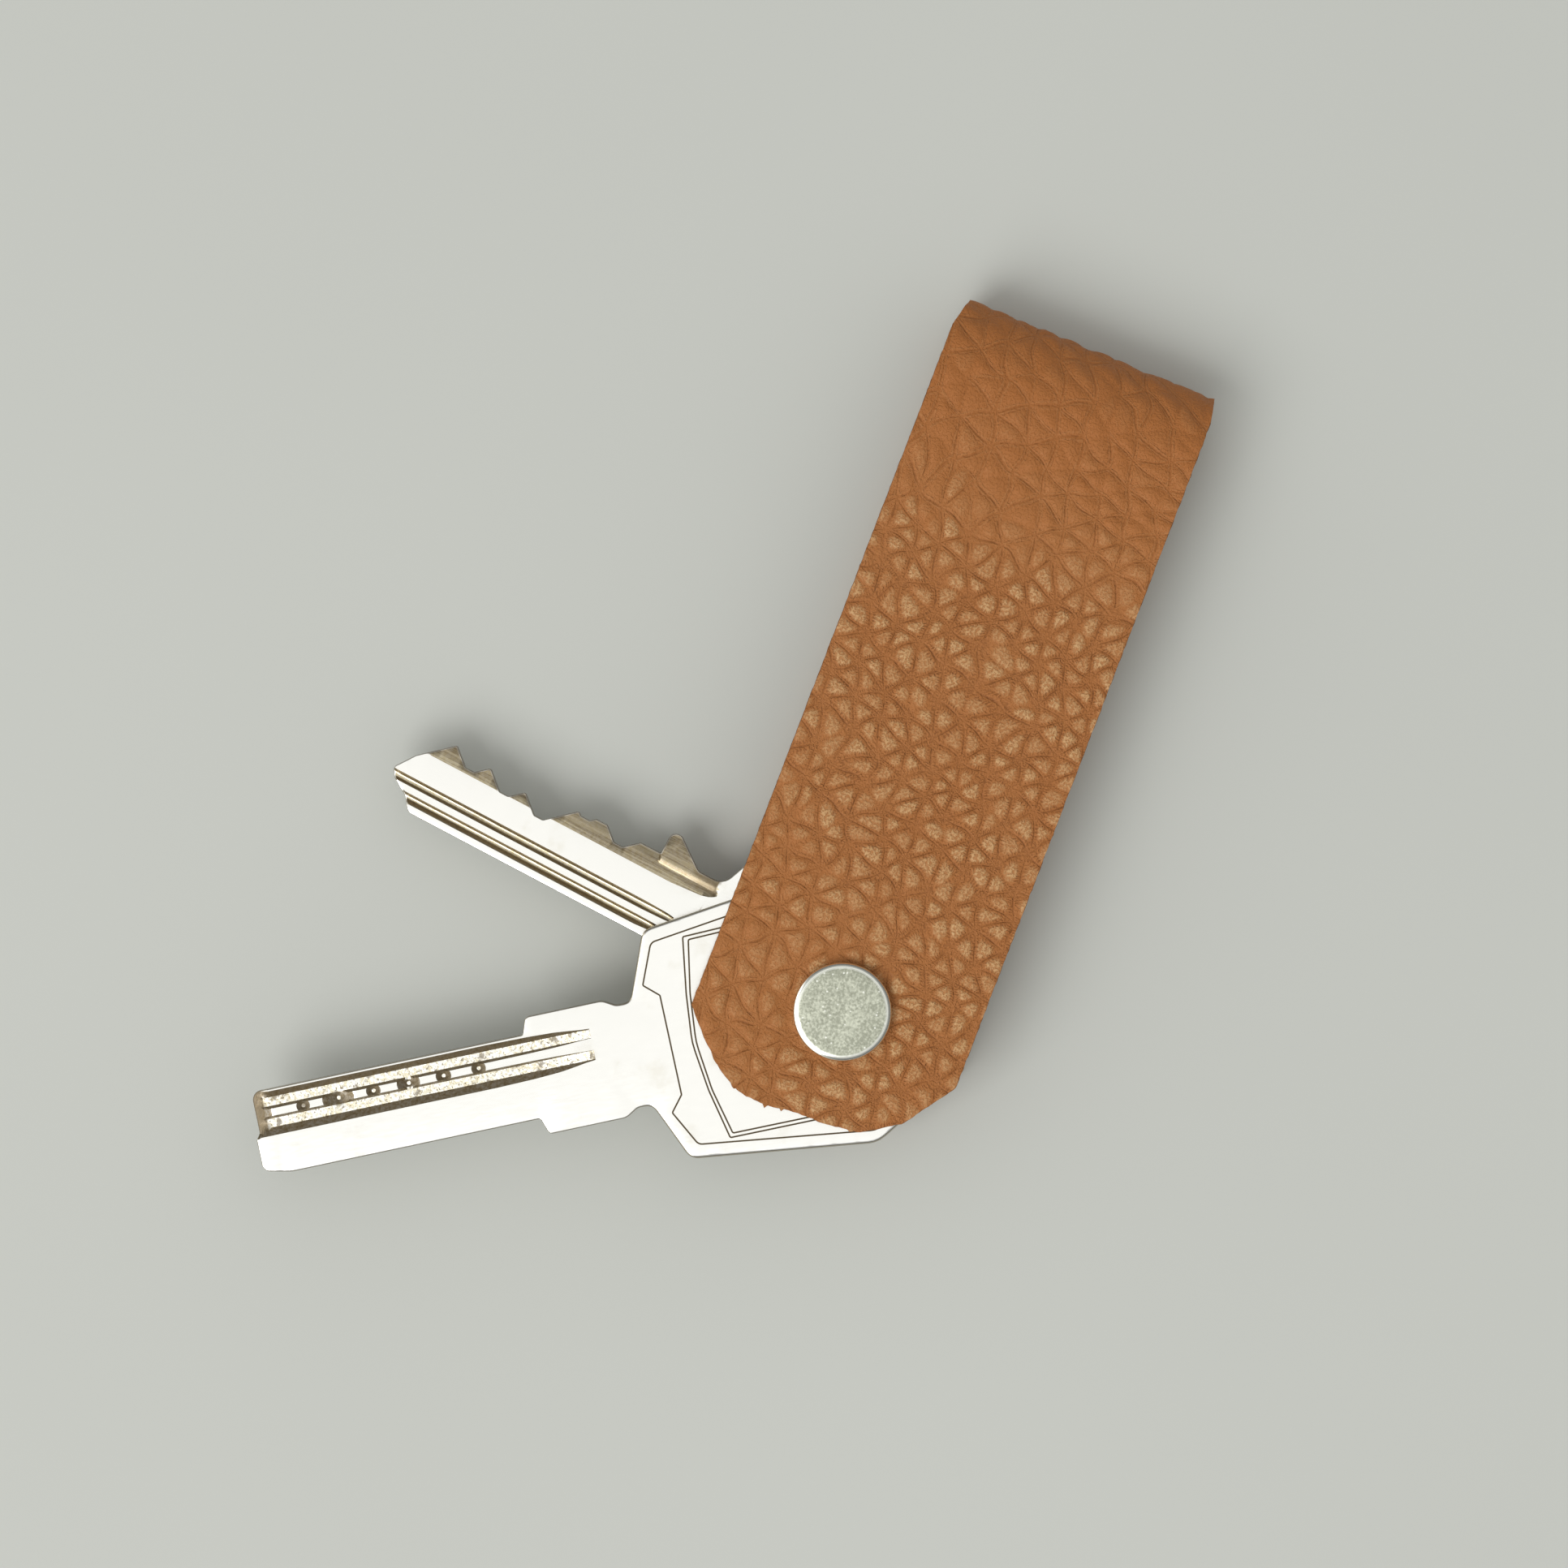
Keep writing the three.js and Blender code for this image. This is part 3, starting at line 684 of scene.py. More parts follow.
@dataclass(frozen=True)
class GrainFinish:
    """Tan pebbled grain: crests painted pale as a sheen highlight, creases painted dark as shade, and a
    soft sheen.
    """

    grain: Grain
    tan: Colour = screen(168, 107, 55)
    # Pale colour of the crests: a painted sheen highlight on the pebble tops.
    crest_highlight: Colour = screen(219, 183, 132)
    # Dark colour of the creases: painted shade in the grain's valleys.
    crease: Colour = screen(112, 60, 22)
    stretched: Colour = screen(164, 101, 48)
    cloud: Cloud = Cloud(0.16, 2)
    mottle: Ramp = Ramp(0.35, 0.7, 0, 0.4)
    pores: Cloud = Cloud(5.5, 2, 0.6)
    pore_depth: float = 0.012
    wrinkles: Cloud = Cloud(4.2, 3, 0.7)
    wrinkle: Ramp = Ramp(0.38, 0.54, 0.45, 1)
    ridge: Ramp = Ramp(0, 1, 0.3, 1)
    crest_highlight_share: float = 0.6
    crease_shade_share: float = 0.47
    gloss: Ramp = Ramp(0, 1, 0.56, 0.38)
    specular: float = 0.3
    wrinkle_height: float = 0.6
    streak_height: float = 0.5
    rough_depth: float = 0.11
    rough_crest: Ramp = Ramp(0, 1, 0.8, 1)

    def material(self) -> bpy.types.Material:
        """Makes the grain's material."""
        shade = Shader("tan_grain")
        place = shade.spot(Mask.FLAT)
        pattern = self.grain.pattern(shade)
        wrinkles = shade.noise(place, self.wrinkles)
        base = shade.blend(shade.value(Mask.STRETCH), self.tan, self.stretched)
        mottled = shade.blend(shade.noise(place, self.cloud).up(self.mottle), base, self.stretched)
        # Painted highlight: the crests take the pale colour, broken up by streaks and wrinkles.
        wear_and_painted_light = pattern.crest_highlight * (pattern.streak.up(self.ridge) * wrinkles.up(self.wrinkle))
        crest_highlighted = shade.blend(wear_and_painted_light * self.crest_highlight_share, mottled, self.crest_highlight)
        # Painted shade: the creases take the dark colour.
        crease_shaded = shade.blend(pattern.crease * self.crease_shade_share, crest_highlighted, self.crease)
        shade.surface_value("Base Color", crease_shaded)
        shade.surface_value("Roughness", wear_and_painted_light.up(self.gloss))
        shade.surface_value("Specular IOR Level", self.specular)
        pores = shade.bump(shade.noise(place, self.pores), self.pore_depth)
        wrinkled = wrinkles * self.wrinkle_height + pattern.streak * self.streak_height
        rough = shade.bump(wrinkled * pattern.crest_highlight.up(self.rough_crest), self.rough_depth, pores)
        shade.surface_value("Normal", shade.bump(pattern.fine, self.grain.fine, rough))
        return shade.material


@dataclass(frozen=True)
class RawFinish:
    """Undyed leather: the fibres of a cut edge, or the flesh side."""

    name: str
    pale: Colour
    dark: Colour
    fibres: Cloud
    cloud: Cloud = Cloud(900)
    mixed: Ramp = Ramp(0.35, 0.65)
    roughness: float = 0.9
    specular: float = 0.2
    depth: float = 0.12

    def material(self) -> bpy.types.Material:
        """Makes the raw leather's material."""
        shade = Shader(self.name)
        place = shade.place()
        fibres = shade.noise(place, self.fibres)
        mixed = shade.noise(place, self.cloud) * 0.5 + fibres * 0.5
        shade.surface_value("Base Color", shade.blend(mixed.up(self.mixed), self.dark, self.pale))
        shade.surface_value("Roughness", self.roughness)
        shade.surface_value("Specular IOR Level", self.specular)
        shade.surface_value("Normal", shade.bump(fibres, self.depth))
        return shade.material


@dataclass(frozen=True)
class Milling:
    """How the milled places of a key look: what shows bare brass or dirt there, how dark their steep walls
    are painted as shade, and how rough they are.
    """

    brass: Colour
    bare: Ramp
    lines: Ramp
    # Steepness over which the milled walls are painted dark as shade.
    walls: Ramp
    flecks: Ramp
    patches: Ramp
    rough: float
    pit_depth: float


PITTED = Milling(
    brass=(0.72, 0.65, 0.47, 1),
    bare=Ramp(0.36, 0.6, 0.95, 0.15),
    lines=Ramp(0.42, 0.62, 0, 0),
    walls=Ramp(0.02, 0.14),
    flecks=Ramp(0.54, 0.68, 0, 0.75),
    patches=Ramp(0.57, 0.65, 0, 0.7),
    rough=0.14,
    pit_depth=0.05,
)
DRAWN = Milling(
    brass=(0.6, 0.51, 0.32, 1),
    bare=Ramp(0.36, 0.6, 0.95, 0.7875),
    lines=Ramp(0.42, 0.62, 0, 0.85),
    walls=Ramp(0.06, 0.36),
    flecks=Ramp(0.54, 0.68, 0, 0.1125),
    patches=Ramp(0.57, 0.65, 0, 0.105),
    rough=0.072,
    pit_depth=0.0075,
)


@dataclass(frozen=True)
class KeyFinish:
    """Bright plated brass that shows brass, dirt and painted shade where it is milled, and painted shade on
    its steep edges.
    """

    name: str
    turn: float
    milling: Milling
    plate: Colour = (0.97, 0.96, 0.93, 1)
    bronze: Colour = (0.22, 0.16, 0.08, 1)
    # Dark colour for flecks and patches of dirt, engraved lines and darkened places, and painted shade on
    # milled walls and slopes.
    grime_and_shade: Colour = (0.15, 0.106, 0.05, 1)
    tarnish: Colour = (0.80, 0.76, 0.66, 1)
    # Dark colour on the steep edge faces: painted shade.
    side: Colour = (0.30, 0.25, 0.16, 1)
    stains: Cloud = Cloud(230, 4, 0.6)
    stained: Ramp = Ramp(0.55, 0.78, 0, 0.45)
    specks: Cloud = Cloud(2600, 3, 0.65)
    wall_specks: Ramp = Ramp(0.25, 0.75, 1, 0.75)
    flecks: Cloud = Cloud(3300, 2, 0.7)
    patches: Cloud = Cloud(700, 3, 0.6)
    scratches: Cloud = Cloud(5200, 2, 0.6)
    scratch_draw: float = 0.12
    scratch_rough: Ramp = Ramp(0.3, 0.7, 0.15, 0.22)
    scratch_depth: float = 0.0006
    lines: Cloud = Cloud(6500, 2, 0.6)
    line_draw: float = 0.015
    # Steepness over which the edges take the painted shade colour.
    edges: Ramp = Ramp(0.1, 0.36, 0, 0.88)
    shine: Ramp = Ramp(0, 1, 1, 0.4)

    def material(self) -> bpy.types.Material:
        """Makes the key's material."""
        shade = Shader(self.name)
        place = shade.place()
        cut = self.milling
        specks = shade.noise(place, self.specks)
        scratches = shade.noise(shade.drawn_place(self.turn, self.scratch_draw), self.scratches)
        lines = shade.noise(shade.drawn_place(self.turn, self.line_draw), self.lines)
        steep = shade.steepness()
        milled = shade.value(Mask.MILLED)
        stains = shade.noise(place, self.stains).up(self.stained)
        clean = shade.blend(stains, self.plate, self.tarnish)
        # Painted shade: steep edge faces take the dark side colour.
        edge_shaded = shade.blend(steep.up(self.edges), clean, self.side)
        metal = shade.blend(lines.up(cut.lines), cut.brass, self.bronze)
        wear_and_painted_light = shade.blend(milled * specks.up(cut.bare), edge_shaded, metal)
        # Painted shade: steep milled walls darken, broken up by specks.
        walls = steep.up(cut.walls) * specks.up(self.wall_specks)
        flecks = shade.noise(place, self.flecks).up(cut.flecks)
        patches = shade.noise(place, self.patches).up(cut.patches)
        # Dirt flecks and patches, the painted wall shade, engraved lines and darkened places take the dark
        # colour.
        dirt_and_shade = (milled * walls.most(flecks).most(patches)).most(shade.value(Mask.ENGRAVED))
        shade.surface_value("Base Color", shade.blend(dirt_and_shade, wear_and_painted_light, self.grime_and_shade))
        shade.surface_value("Metallic", dirt_and_shade.up(self.shine))
        shade.surface_value("Roughness", scratches.up(self.scratch_rough) + milled * cut.rough)
        pitted = shade.bump(specks * milled, cut.pit_depth)
        shade.surface_value("Normal", shade.bump(scratches, self.scratch_depth, pitted))
        return shade.material


@dataclass(frozen=True)
class StudFinish:
    """Satin nickel with a finely pitted face."""

    name: str
    metal: Colour = (0.31, 0.32, 0.255, 1)
    pale: Colour = (0.56, 0.575, 0.475, 1)
    polished: Colour = (0.84, 0.85, 0.79, 1)
    level: Ramp = Ramp(0.0, 0.04, 1, 0)
    grain: Cloud = Cloud(3400, 3, 0.7)
    grain_share: float = 0.75
    grain_depth: float = 0.02
    cloud: Cloud = Cloud(420)
    cloud_share: float = 0.35
    speckle: Ramp = Ramp(0.44, 0.7)
    glints: float = 1300
    glint: Ramp = Ramp(0.08, 0.17, 0.8, 0)
    pits: float = 2300
    pit: Ramp = Ramp(0.05, 0.5)
    pit_depth: float = 0.006
    gloss: Ramp = Ramp(0, 1, 0.16, 0.42)

    def material(self) -> bpy.types.Material:
        """Makes the stud's material."""
        shade = Shader(self.name)
        place = shade.place()
        grain = shade.noise(place, self.grain)
        level = shade.steepness().up(self.level)
        speckle = grain * self.grain_share + shade.noise(place, self.cloud) * self.cloud_share
        face = shade.blend(speckle.up(self.speckle), self.metal, self.pale)
        face = shade.blend(shade.spots(place, self.glints).up(self.glint), face, self.polished)
        shade.surface_value("Base Color", shade.blend(level, self.polished, face))
        shade.surface_value("Metallic", 1.0)
        shade.surface_value("Roughness", level.up(self.gloss))
        rough = shade.bump(level * grain, self.grain_depth)
        pits = level * shade.spots(place, self.pits).up(self.pit)
        shade.surface_value("Normal", shade.bump(pits, self.pit_depth, rough))
        return shade.material


@dataclass(frozen=True)
class FloorFinish:
    """A plain pale floor."""

    pale: Colour = screen(201, 203, 197)
    darker: float = 0.95
    cloud: Cloud = Cloud(9, 2)
    roughness: float = 0.85
    specular: float = 0.15

    def material(self) -> bpy.types.Material:
        """Makes the floor's material."""
        shade = Shader("pale_floor")
        darker_tone = tuple(self.darker * value for value in self.pale[:3]) + (1.0,)
        cloud = shade.noise(shade.place(), self.cloud)
        shade.surface_value("Base Color", shade.blend(cloud, self.pale, darker_tone))
        shade.surface_value("Roughness", self.roughness)
        shade.surface_value("Specular IOR Level", self.specular)
        return shade.material


def mesh_piece(name: str, points: Array, faces: Sequence[Face], sharp: float) -> bpy.types.Object:
    """Makes a closed mesh whose faces look outwards.

    Args:
        name: The piece's name.
        points: Its corners in millimetres, in the row frame.
        faces: Its faces as corner numbers.
        sharp: The angle in degrees above which an edge stays sharp.

    Returns:
        The piece, in the scene.
    """
    mesh = bpy.data.meshes.new(name)
    mesh.from_pydata((points * MM).tolist(), [], faces)
    work = bmesh.new()
    work.from_mesh(mesh)
    bmesh.ops.recalc_face_normals(work, faces=work.faces)
    work.to_mesh(mesh)
    work.free()
    mesh.polygons.foreach_set("use_smooth", [True] * len(mesh.polygons))
    mesh.set_sharp_from_angle(angle=math.radians(sharp))
    piece = bpy.data.objects.new(name, mesh)
    bpy.context.scene.collection.objects.link(piece)
    return piece


def carry(piece: bpy.types.Object, mask: Mask, values: Array, domain: str = "POINT") -> None:
    """Stores a value or a place at each corner or face of a piece.

    Args:
        piece: The piece.
        mask: What is stored.
        values: One value, or one place, for each corner or face.
        domain: POINT for corners, FACE for faces.
    """
    stored = np.asarray(values, np.float32)
    if stored.ndim == 1:
        piece.data.attributes.new(mask.value, "FLOAT", domain).data.foreach_set("value", stored)
        return
    places = np.column_stack([stored, np.zeros(len(stored), np.float32)]).ravel()
    piece.data.attributes.new(mask.value, "FLOAT_VECTOR", domain).data.foreach_set("vector", places)


def join_frame(piece: bpy.types.Object, node: str, body: Body) -> None:
    """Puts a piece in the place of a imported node.

    Args:
        piece: The dressed piece.
        node: The node that it stands for.
        body: The body that it moves with.
    """
    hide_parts(node)
    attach(piece, body.value)


class Noise:
    """Smooth seeded noise over a plane, between -1 and 1."""

    SIZE = 97

    def __init__(self, seed: int) -> None:
        """Draws the lattice."""
        self.lattice = np.random.default_rng(seed).uniform(-1, 1, (self.SIZE, self.SIZE))

    def at(self, along: Array, across: Array) -> Array:
        """Reads the noise.

        Args:
            along: First coordinate, one cell to a unit.
            across: Second coordinate.

        Returns:
            The noise at each place.
        """
        row, column = np.floor(along).astype(int), np.floor(across).astype(int)
        a, b = ease(0, 1, along - row), ease(0, 1, across - column)
        rows = row % self.SIZE, (row + 1) % self.SIZE
        left, right = column % self.SIZE, (column + 1) % self.SIZE
        top, low = (self.lattice[at, left] * (1 - b) + self.lattice[at, right] * b for at in rows)
        return top * (1 - a) + low * a


@dataclass(frozen=True)
class Fray:
    """Unevenness of a cut edge: its depth, its length along the edge and its lane in the noise."""

    depth: float
    length: float
    lane: float

    def at(self, noise: Noise, places: Array, level: int = 1) -> Array:
        """Gives the unevenness along an edge.

        Args:
            noise: The noise to read.
            places: Places along the edge.
            level: Which lane to read, counted in lanes of this fray.

        Returns:
            How far the edge stands out at each place.
        """
        return self.depth * noise.at(places / self.length, np.full(len(places), self.lane * level))


@dataclass
class Loop:
    """A closed run of corners on the edge of a grid."""

    corners: Array
    flat: Array


def edge_loops(faces: Array, flat: Array) -> list[Loop]:
    """Finds the edges of a grid, the longest first.

    Args:
        faces: Quads as corner numbers.
        flat: Place of every corner on the flat cut.

    Returns:
        The closed loops.
    """
    starts, ends = faces.ravel(), np.roll(faces, -1, axis=1).ravel()
    count = len(flat)
    ours, others = starts * count + ends, ends * count + starts
    free = ~np.isin(ours, others)
    following = dict(zip(starts[free].tolist(), ends[free].tolist()))
    loops = []
    while following:
        start, corner = next(iter(following.items()))
        del following[start]
        run = [start]
        while corner != start:
            run.append(corner)
            corner = following.pop(corner)
        loops.append(Loop(np.array(run), flat[run]))
    return sorted(loops, key=lambda loop: -len(loop.corners))


def strip(first: Array, second: Array) -> list[Face]:
    """Joins two closed loops of as many corners by quads."""
    return list(zip(first, np.roll(first, -1), np.roll(second, -1), second))


def zipped(fine: Loop, coarse: Loop) -> list[Face]:
    """Joins a fine loop to a coarse one that follows it, by triangles.

    Args:
        fine: The loop with more corners.
        coarse: The loop with fewer.

    Returns:
        The triangles.
    """
    gap = np.linalg.norm(coarse.flat[:, None] - fine.flat[None], axis=2)
    match = np.argmin(gap, axis=1)
    order = np.argsort(match)
    stops, ends = match[order], coarse.corners[order]
    count = len(fine.corners)
    faces: list[Face] = []
    for k, stop in enumerate(stops):
        ahead = (k + 1) % len(stops)
        steps = (stops[ahead] - stop) % count
        middle = steps // 2
        for step in range(steps):
            here, there = fine.corners[(stop + step) % count], fine.corners[(stop + step + 1) % count]
            faces.append((here, there, ends[k] if step < middle else ends[ahead]))
        faces.append((fine.corners[(stop + middle) % count], ends[ahead], ends[k]))
    return faces


@dataclass(frozen=True)
class DullZones:
    """Where the fold stretches the grain, and where its crests are dull, without the painted sheen
    highlight.

    Attributes:
        sway, patch: How far patches shift the dull places, and how long a patch is.
        stretched, fold: Reach over which the stretch sets in, and over which the fold goes dull.
        side, side_share: Places across over which the left side goes dull, and how dull it gets.
        tip, corner: Reach, and places across, over which the tip's left goes dull.
        slant, tip_share: How far that moves over with the reach, and how dull it gets.
        most: The most that side and tip come to.
    """

    sway: float = 1.6
    patch: float = 5.0
    stretched: Point = (50.0, 66.0)
    fold: Point = (40.0, 58.0)
    side: Point = (2.0, 15.0)
    side_share: float = 0.3
    tip: Point = (24.0, 4.0)
    corner: Point = (-7.0, 3.0)
    slant: float = 0.25
    tip_share: float = 0.45
    most: float = 0.8


@dataclass
class LeatherStrap:
    """The folded strap, with its grain outside and its trimmed ends at the post."""

    name: str = "leather_strap_dressed"
    left: float = 14.5
    right: float = -13.5
    thickness: float = 2.0
    tip: float = 11.4
    lift_start: float = 7.4
    lift_end: float = 17.9
    lift: float = 1.25
    lift_steps: int = 60
    fold_start: float = 64.1
    fold_depth: float = 7.9
    fold_steps: int = 160
    height: float = 10.3
    hole: float = 2.75
    swell: float = 0.12
    swell_rim: Point = (4.3, 4.9)
    sink: float = 0.16
    sink_ring: float = 5.5
    sink_width: float = 0.8
    grain_rim: Point = (4.4, 6.0)
    fine: float = 0.21
    fold_step: float = 0.25
    under_step: float = 0.5
    coarse: int = 4
    sharp: float = 60.0
    narrow_left: float = 0.75
    narrow_right: float = 0.35
    narrow_run: float = 2.6
    skew: float = 0.3
    trim: tuple[Point, ...] = (
        (-13.5, -3.0), (-12.1, -5.2), (-9.7, -8.5), (-7.4, -10.0), (-5.7, -10.8), (-3.4, -11.2),
        (0.0, -11.2), (3.5, -11.5), (5.2, -11.5), (7.0, -11.25), (8.1, -10.7), (10.1, -9.4),
        (12.5, -7.1), (14.5, -4.8),
    )
    trim_clear: float = 0.4
    trim_frays: tuple[Fray, ...] = (Fray(0.1, 0.55, 3.3), Fray(0.07, 1.9, 9.1))
    fibres: tuple[Point, ...] = ((7.6, 0.35), (3.9, 0.4), (2.2, 0.3), (-5.1, 0.25))
    fibre_width: float = 0.13
    side_fray: Fray = Fray(0.035, 0.8, 5.7)
    side_run: Point = (11.5, 14.0)
    wall_depths: tuple[float, ...] = (0.1, 0.45, 0.95, 1.45, 1.85)
    wall_out: float = 0.03
    wall_fray: Fray = Fray(0.05, 0.5, 11.7)
    seed: int = 23
    dull_zones: DullZones = DullZones()
    grain: Grain = Grain()

    def __post_init__(self) -> None:
        """Lays out the outer face's side view and its lengths."""
        ease_run = (self.lift_end - self.lift_start) / 2
        share = np.linspace(0, 1, self.lift_steps)[1:]
        lift_x = self.lift_start + 3 * ease_run * share * (1 - share) ** 2
        lift_x += 3 * ease_run * share**2 * (1 - share) + 2 * ease_run * share**3
        lift = np.column_stack([lift_x, self.lift * (1 - ease(0, 1, share))])
        turn = np.linspace(-math.pi / 2, math.pi / 2, self.fold_steps)[1:]
        middle = self.height / 2
        fold = np.column_stack(
            [self.fold_start + self.fold_depth * np.cos(turn), middle + middle * np.sin(turn)]
        )
        ends = [[-self.tip, self.lift], [self.lift_start, self.lift]]
        self.side = np.vstack([ends, lift, [[self.fold_start, 0]], fold, [[-self.tip, self.height]]])
        steps = np.linalg.norm(np.diff(self.side, axis=0), axis=1)
        self.run = np.concatenate([[0], np.cumsum(steps)])
        slope = np.gradient(self.side, self.run, axis=0)
        slope[:2], slope[-1] = (1, 0), (-1, 0)
        self.outward = -left_of(unit(slope))
        self.length = float(self.run[-1])
        self.fold_from = float(self.run[len(ends) + len(lift)])
        self.fold_to = float(self.run[-2])
        self.warp = self.tip + self.lift_start - self.trim_clear
        self.rough = Noise(self.seed)

    def stations(self) -> Array:
        """Spaces the rows: fine on the upper leaf, coarser below."""
        pieces = (
            (0, self.fold_from, self.under_step),
            (self.fold_from, self.fold_to, self.fold_step),
            (self.fold_to, self.length, self.fine),
        )
        rows = [np.linspace(a, b, max(2, round((b - a) / step)), endpoint=False) for a, b, step in pieces]
        flat = np.append(np.concatenate(rows), self.length)
        spare = (len(flat) - 1) % self.coarse
        return np.delete(flat, np.arange(1, 1 + spare)) if spare else flat

    def trimmed(self, row: Array, across: Array) -> Array:
        """Draws the rows near both ends back to the trimmed outline.

        Args:
            row: Place along the flat cut before trimming.
            across: Place across the strap.

        Returns:
            Place along the flat cut.
        """
        places, reaches = np.array(self.trim).T
        ragged = sum(fray.at(self.rough, across) for fray in self.trim_frays)
        for place, long in self.fibres:
            nick = long * np.exp(-(((across - place) / self.fibre_width) ** 2))
            ragged = ragged - np.where(row > self.warp, nick, 0)
        cut = np.interp(across, places, reaches) + self.tip + ragged
        low = self.warp - (self.warp - row) * (self.warp - cut) / self.warp
        back = self.length - row
        high = self.length - (self.warp - (self.warp - back) * (self.warp - cut) / self.warp)
        return np.where(row < self.warp, low, np.where(back < self.warp, high, row))

    def place(self, along: Array, across: Array, raised: Array) -> Array:
        """Bends places of the flat cut into the loop.

        Args:
            along: Place along the outer face.
            across: Place across, from the post's axis.
            raised: Height above the outer face, negative inside the leather.

        Returns:
            Points about the post's axis.
        """
        beyond = np.maximum(-along, along - self.length)
        x = np.where(beyond > 0, -self.tip - beyond, np.interp(along, self.run, self.side[:, 0]))
        z = np.interp(along, self.run, self.side[:, 1])
        out_x = np.interp(along, self.run, self.outward[:, 0])
        out_z = np.interp(along, self.run, self.outward[:, 1])
        bend = np.clip((x - self.fold_start) / self.fold_depth, 0, 1)
        tuck = np.clip((x - self.fold_start - self.fold_depth) / self.narrow_run + 1, 0, 1)
        pull = np.where(across > 0, self.narrow_left / self.left, self.narrow_right / -self.right)
        y = across * (1 - pull * tuck)
        x = x + self.skew * bend * across / self.left
        return np.column_stack([x + out_x * raised, y, z + out_z * raised])

    def reach(self, along: Array) -> Array:
        """Gives the distance from the post along the strap, the same on both leaves."""
        half = (self.fold_from + self.fold_to) / 2
        return half - np.abs(along - half) - self.tip

    def radius(self, along: Array, across: Array) -> Array:
        """Gives the distance from the nearer hole's middle on the flat cut."""
        return np.hypot(self.reach(along), across)

    def seat(self, along: Array, across: Array) -> Array:
        """Gives how the leather swells under the heads and sinks round them."""
        radius = self.radius(along, across)
        swell = self.swell * (1 - ease(*self.swell_rim, radius))
        return swell - self.sink * np.exp(-(((radius - self.sink_ring) / self.sink_width) ** 2))

    def grid(self, rows: Array, columns: Array) -> tuple[Array, Array, list[Loop]]:
        """Lays a grid on the flat cut with both holes left out.

        Args:
            rows: Places along.
            columns: Places across.

        Returns:
            The corners' places on the flat cut, the quads, and the edges with the outer one first.
        """
        row, column = (axis.ravel() for axis in np.meshgrid(rows, columns, indexing="ij"))
        edge = self.side_fray.at(self.rough, row) * ease(*self.side_run, np.abs(column))
        flat = np.column_stack([self.trimmed(row, column), column + edge])
        number = np.arange(len(row)).reshape(len(rows), len(columns))
        corners = (number[:-1, :-1], number[1:, :-1], number[1:, 1:], number[:-1, 1:])
        faces = np.column_stack([corner.ravel() for corner in corners])
        open_corner = self.radius(flat[:, 0], flat[:, 1]) < self.hole
        faces = faces[~open_corner[faces].any(axis=1)]
        loops = edge_loops(faces, flat)
        for loop in loops[1:]:
            self.snap(flat, loop)
        return flat, faces, loops

    def snap(self, flat: Array, loop: Loop) -> None:
        """Moves the edge of a hole onto its circle."""
        places = flat[loop.corners]
        along = self.tip if places[:, 0].mean() < self.length / 2 else self.length - self.tip
        away = places - np.array([along, 0])
        flat[loop.corners] = (along, 0) + away * (self.hole / np.linalg.norm(away, axis=1))[:, None]
        loop.flat = flat[loop.corners]

    def wall(self, rim: Loop) -> tuple[list[Array], list[Array]]:
        """Shapes the cut edge below the grain's rim.

        Args:
            rim: The rim of the grain side.

        Returns:
            For each level the flat places and the points.
        """
        outward = -left_of(unit(np.roll(rim.flat, -1, axis=0) - np.roll(rim.flat, 1, axis=0)))
        if np.sum(outward * (rim.flat - rim.flat.mean(axis=0))) < 0:
            outward = -outward
        flats, points = [], []
        for level, depth in enumerate(self.wall_depths):
            out = self.wall_out + self.wall_fray.at(self.rough, rim.flat.sum(axis=1), level)
            flat = rim.flat + outward * out[:, None]
            flats.append(flat)
            points.append(self.place(flat[:, 0], flat[:, 1], np.full(len(flat), -depth)))
        return flats, points

    def edge_faces(self, first: int, base: int, loops: list[Loop], inner: list[Loop]) -> list[Face]:
        """Joins the grain side to the flesh side, round the cut edge and in both holes.

        Args:
            first: Number of the cut edge's first corner.
            base: Number of the flesh side's first corner.
            loops: Edges of the grain side.
            inner: Edges of the flesh side.

        Returns:
            The faces.
        """
        count = len(loops[0].corners)
        levels = [loops[0].corners]
        levels += [first + level * count + np.arange(count) for level in range(len(self.wall_depths))]
        faces = [face for upper, lower in zip(levels, levels[1:]) for face in strip(upper, lower)]
        faces += zipped(Loop(levels[-1], loops[0].flat), Loop(base + inner[0].corners, inner[0].flat))
        for loop in loops[1:]:
            middle = loop.flat[:, 0].mean()
            twin = min(inner[1:], key=lambda other: abs(other.flat[:, 0].mean() - middle))
            faces += zipped(loop, Loop(base + twin.corners, twin.flat))
        return [tuple(int(corner) for corner in face) for face in faces]

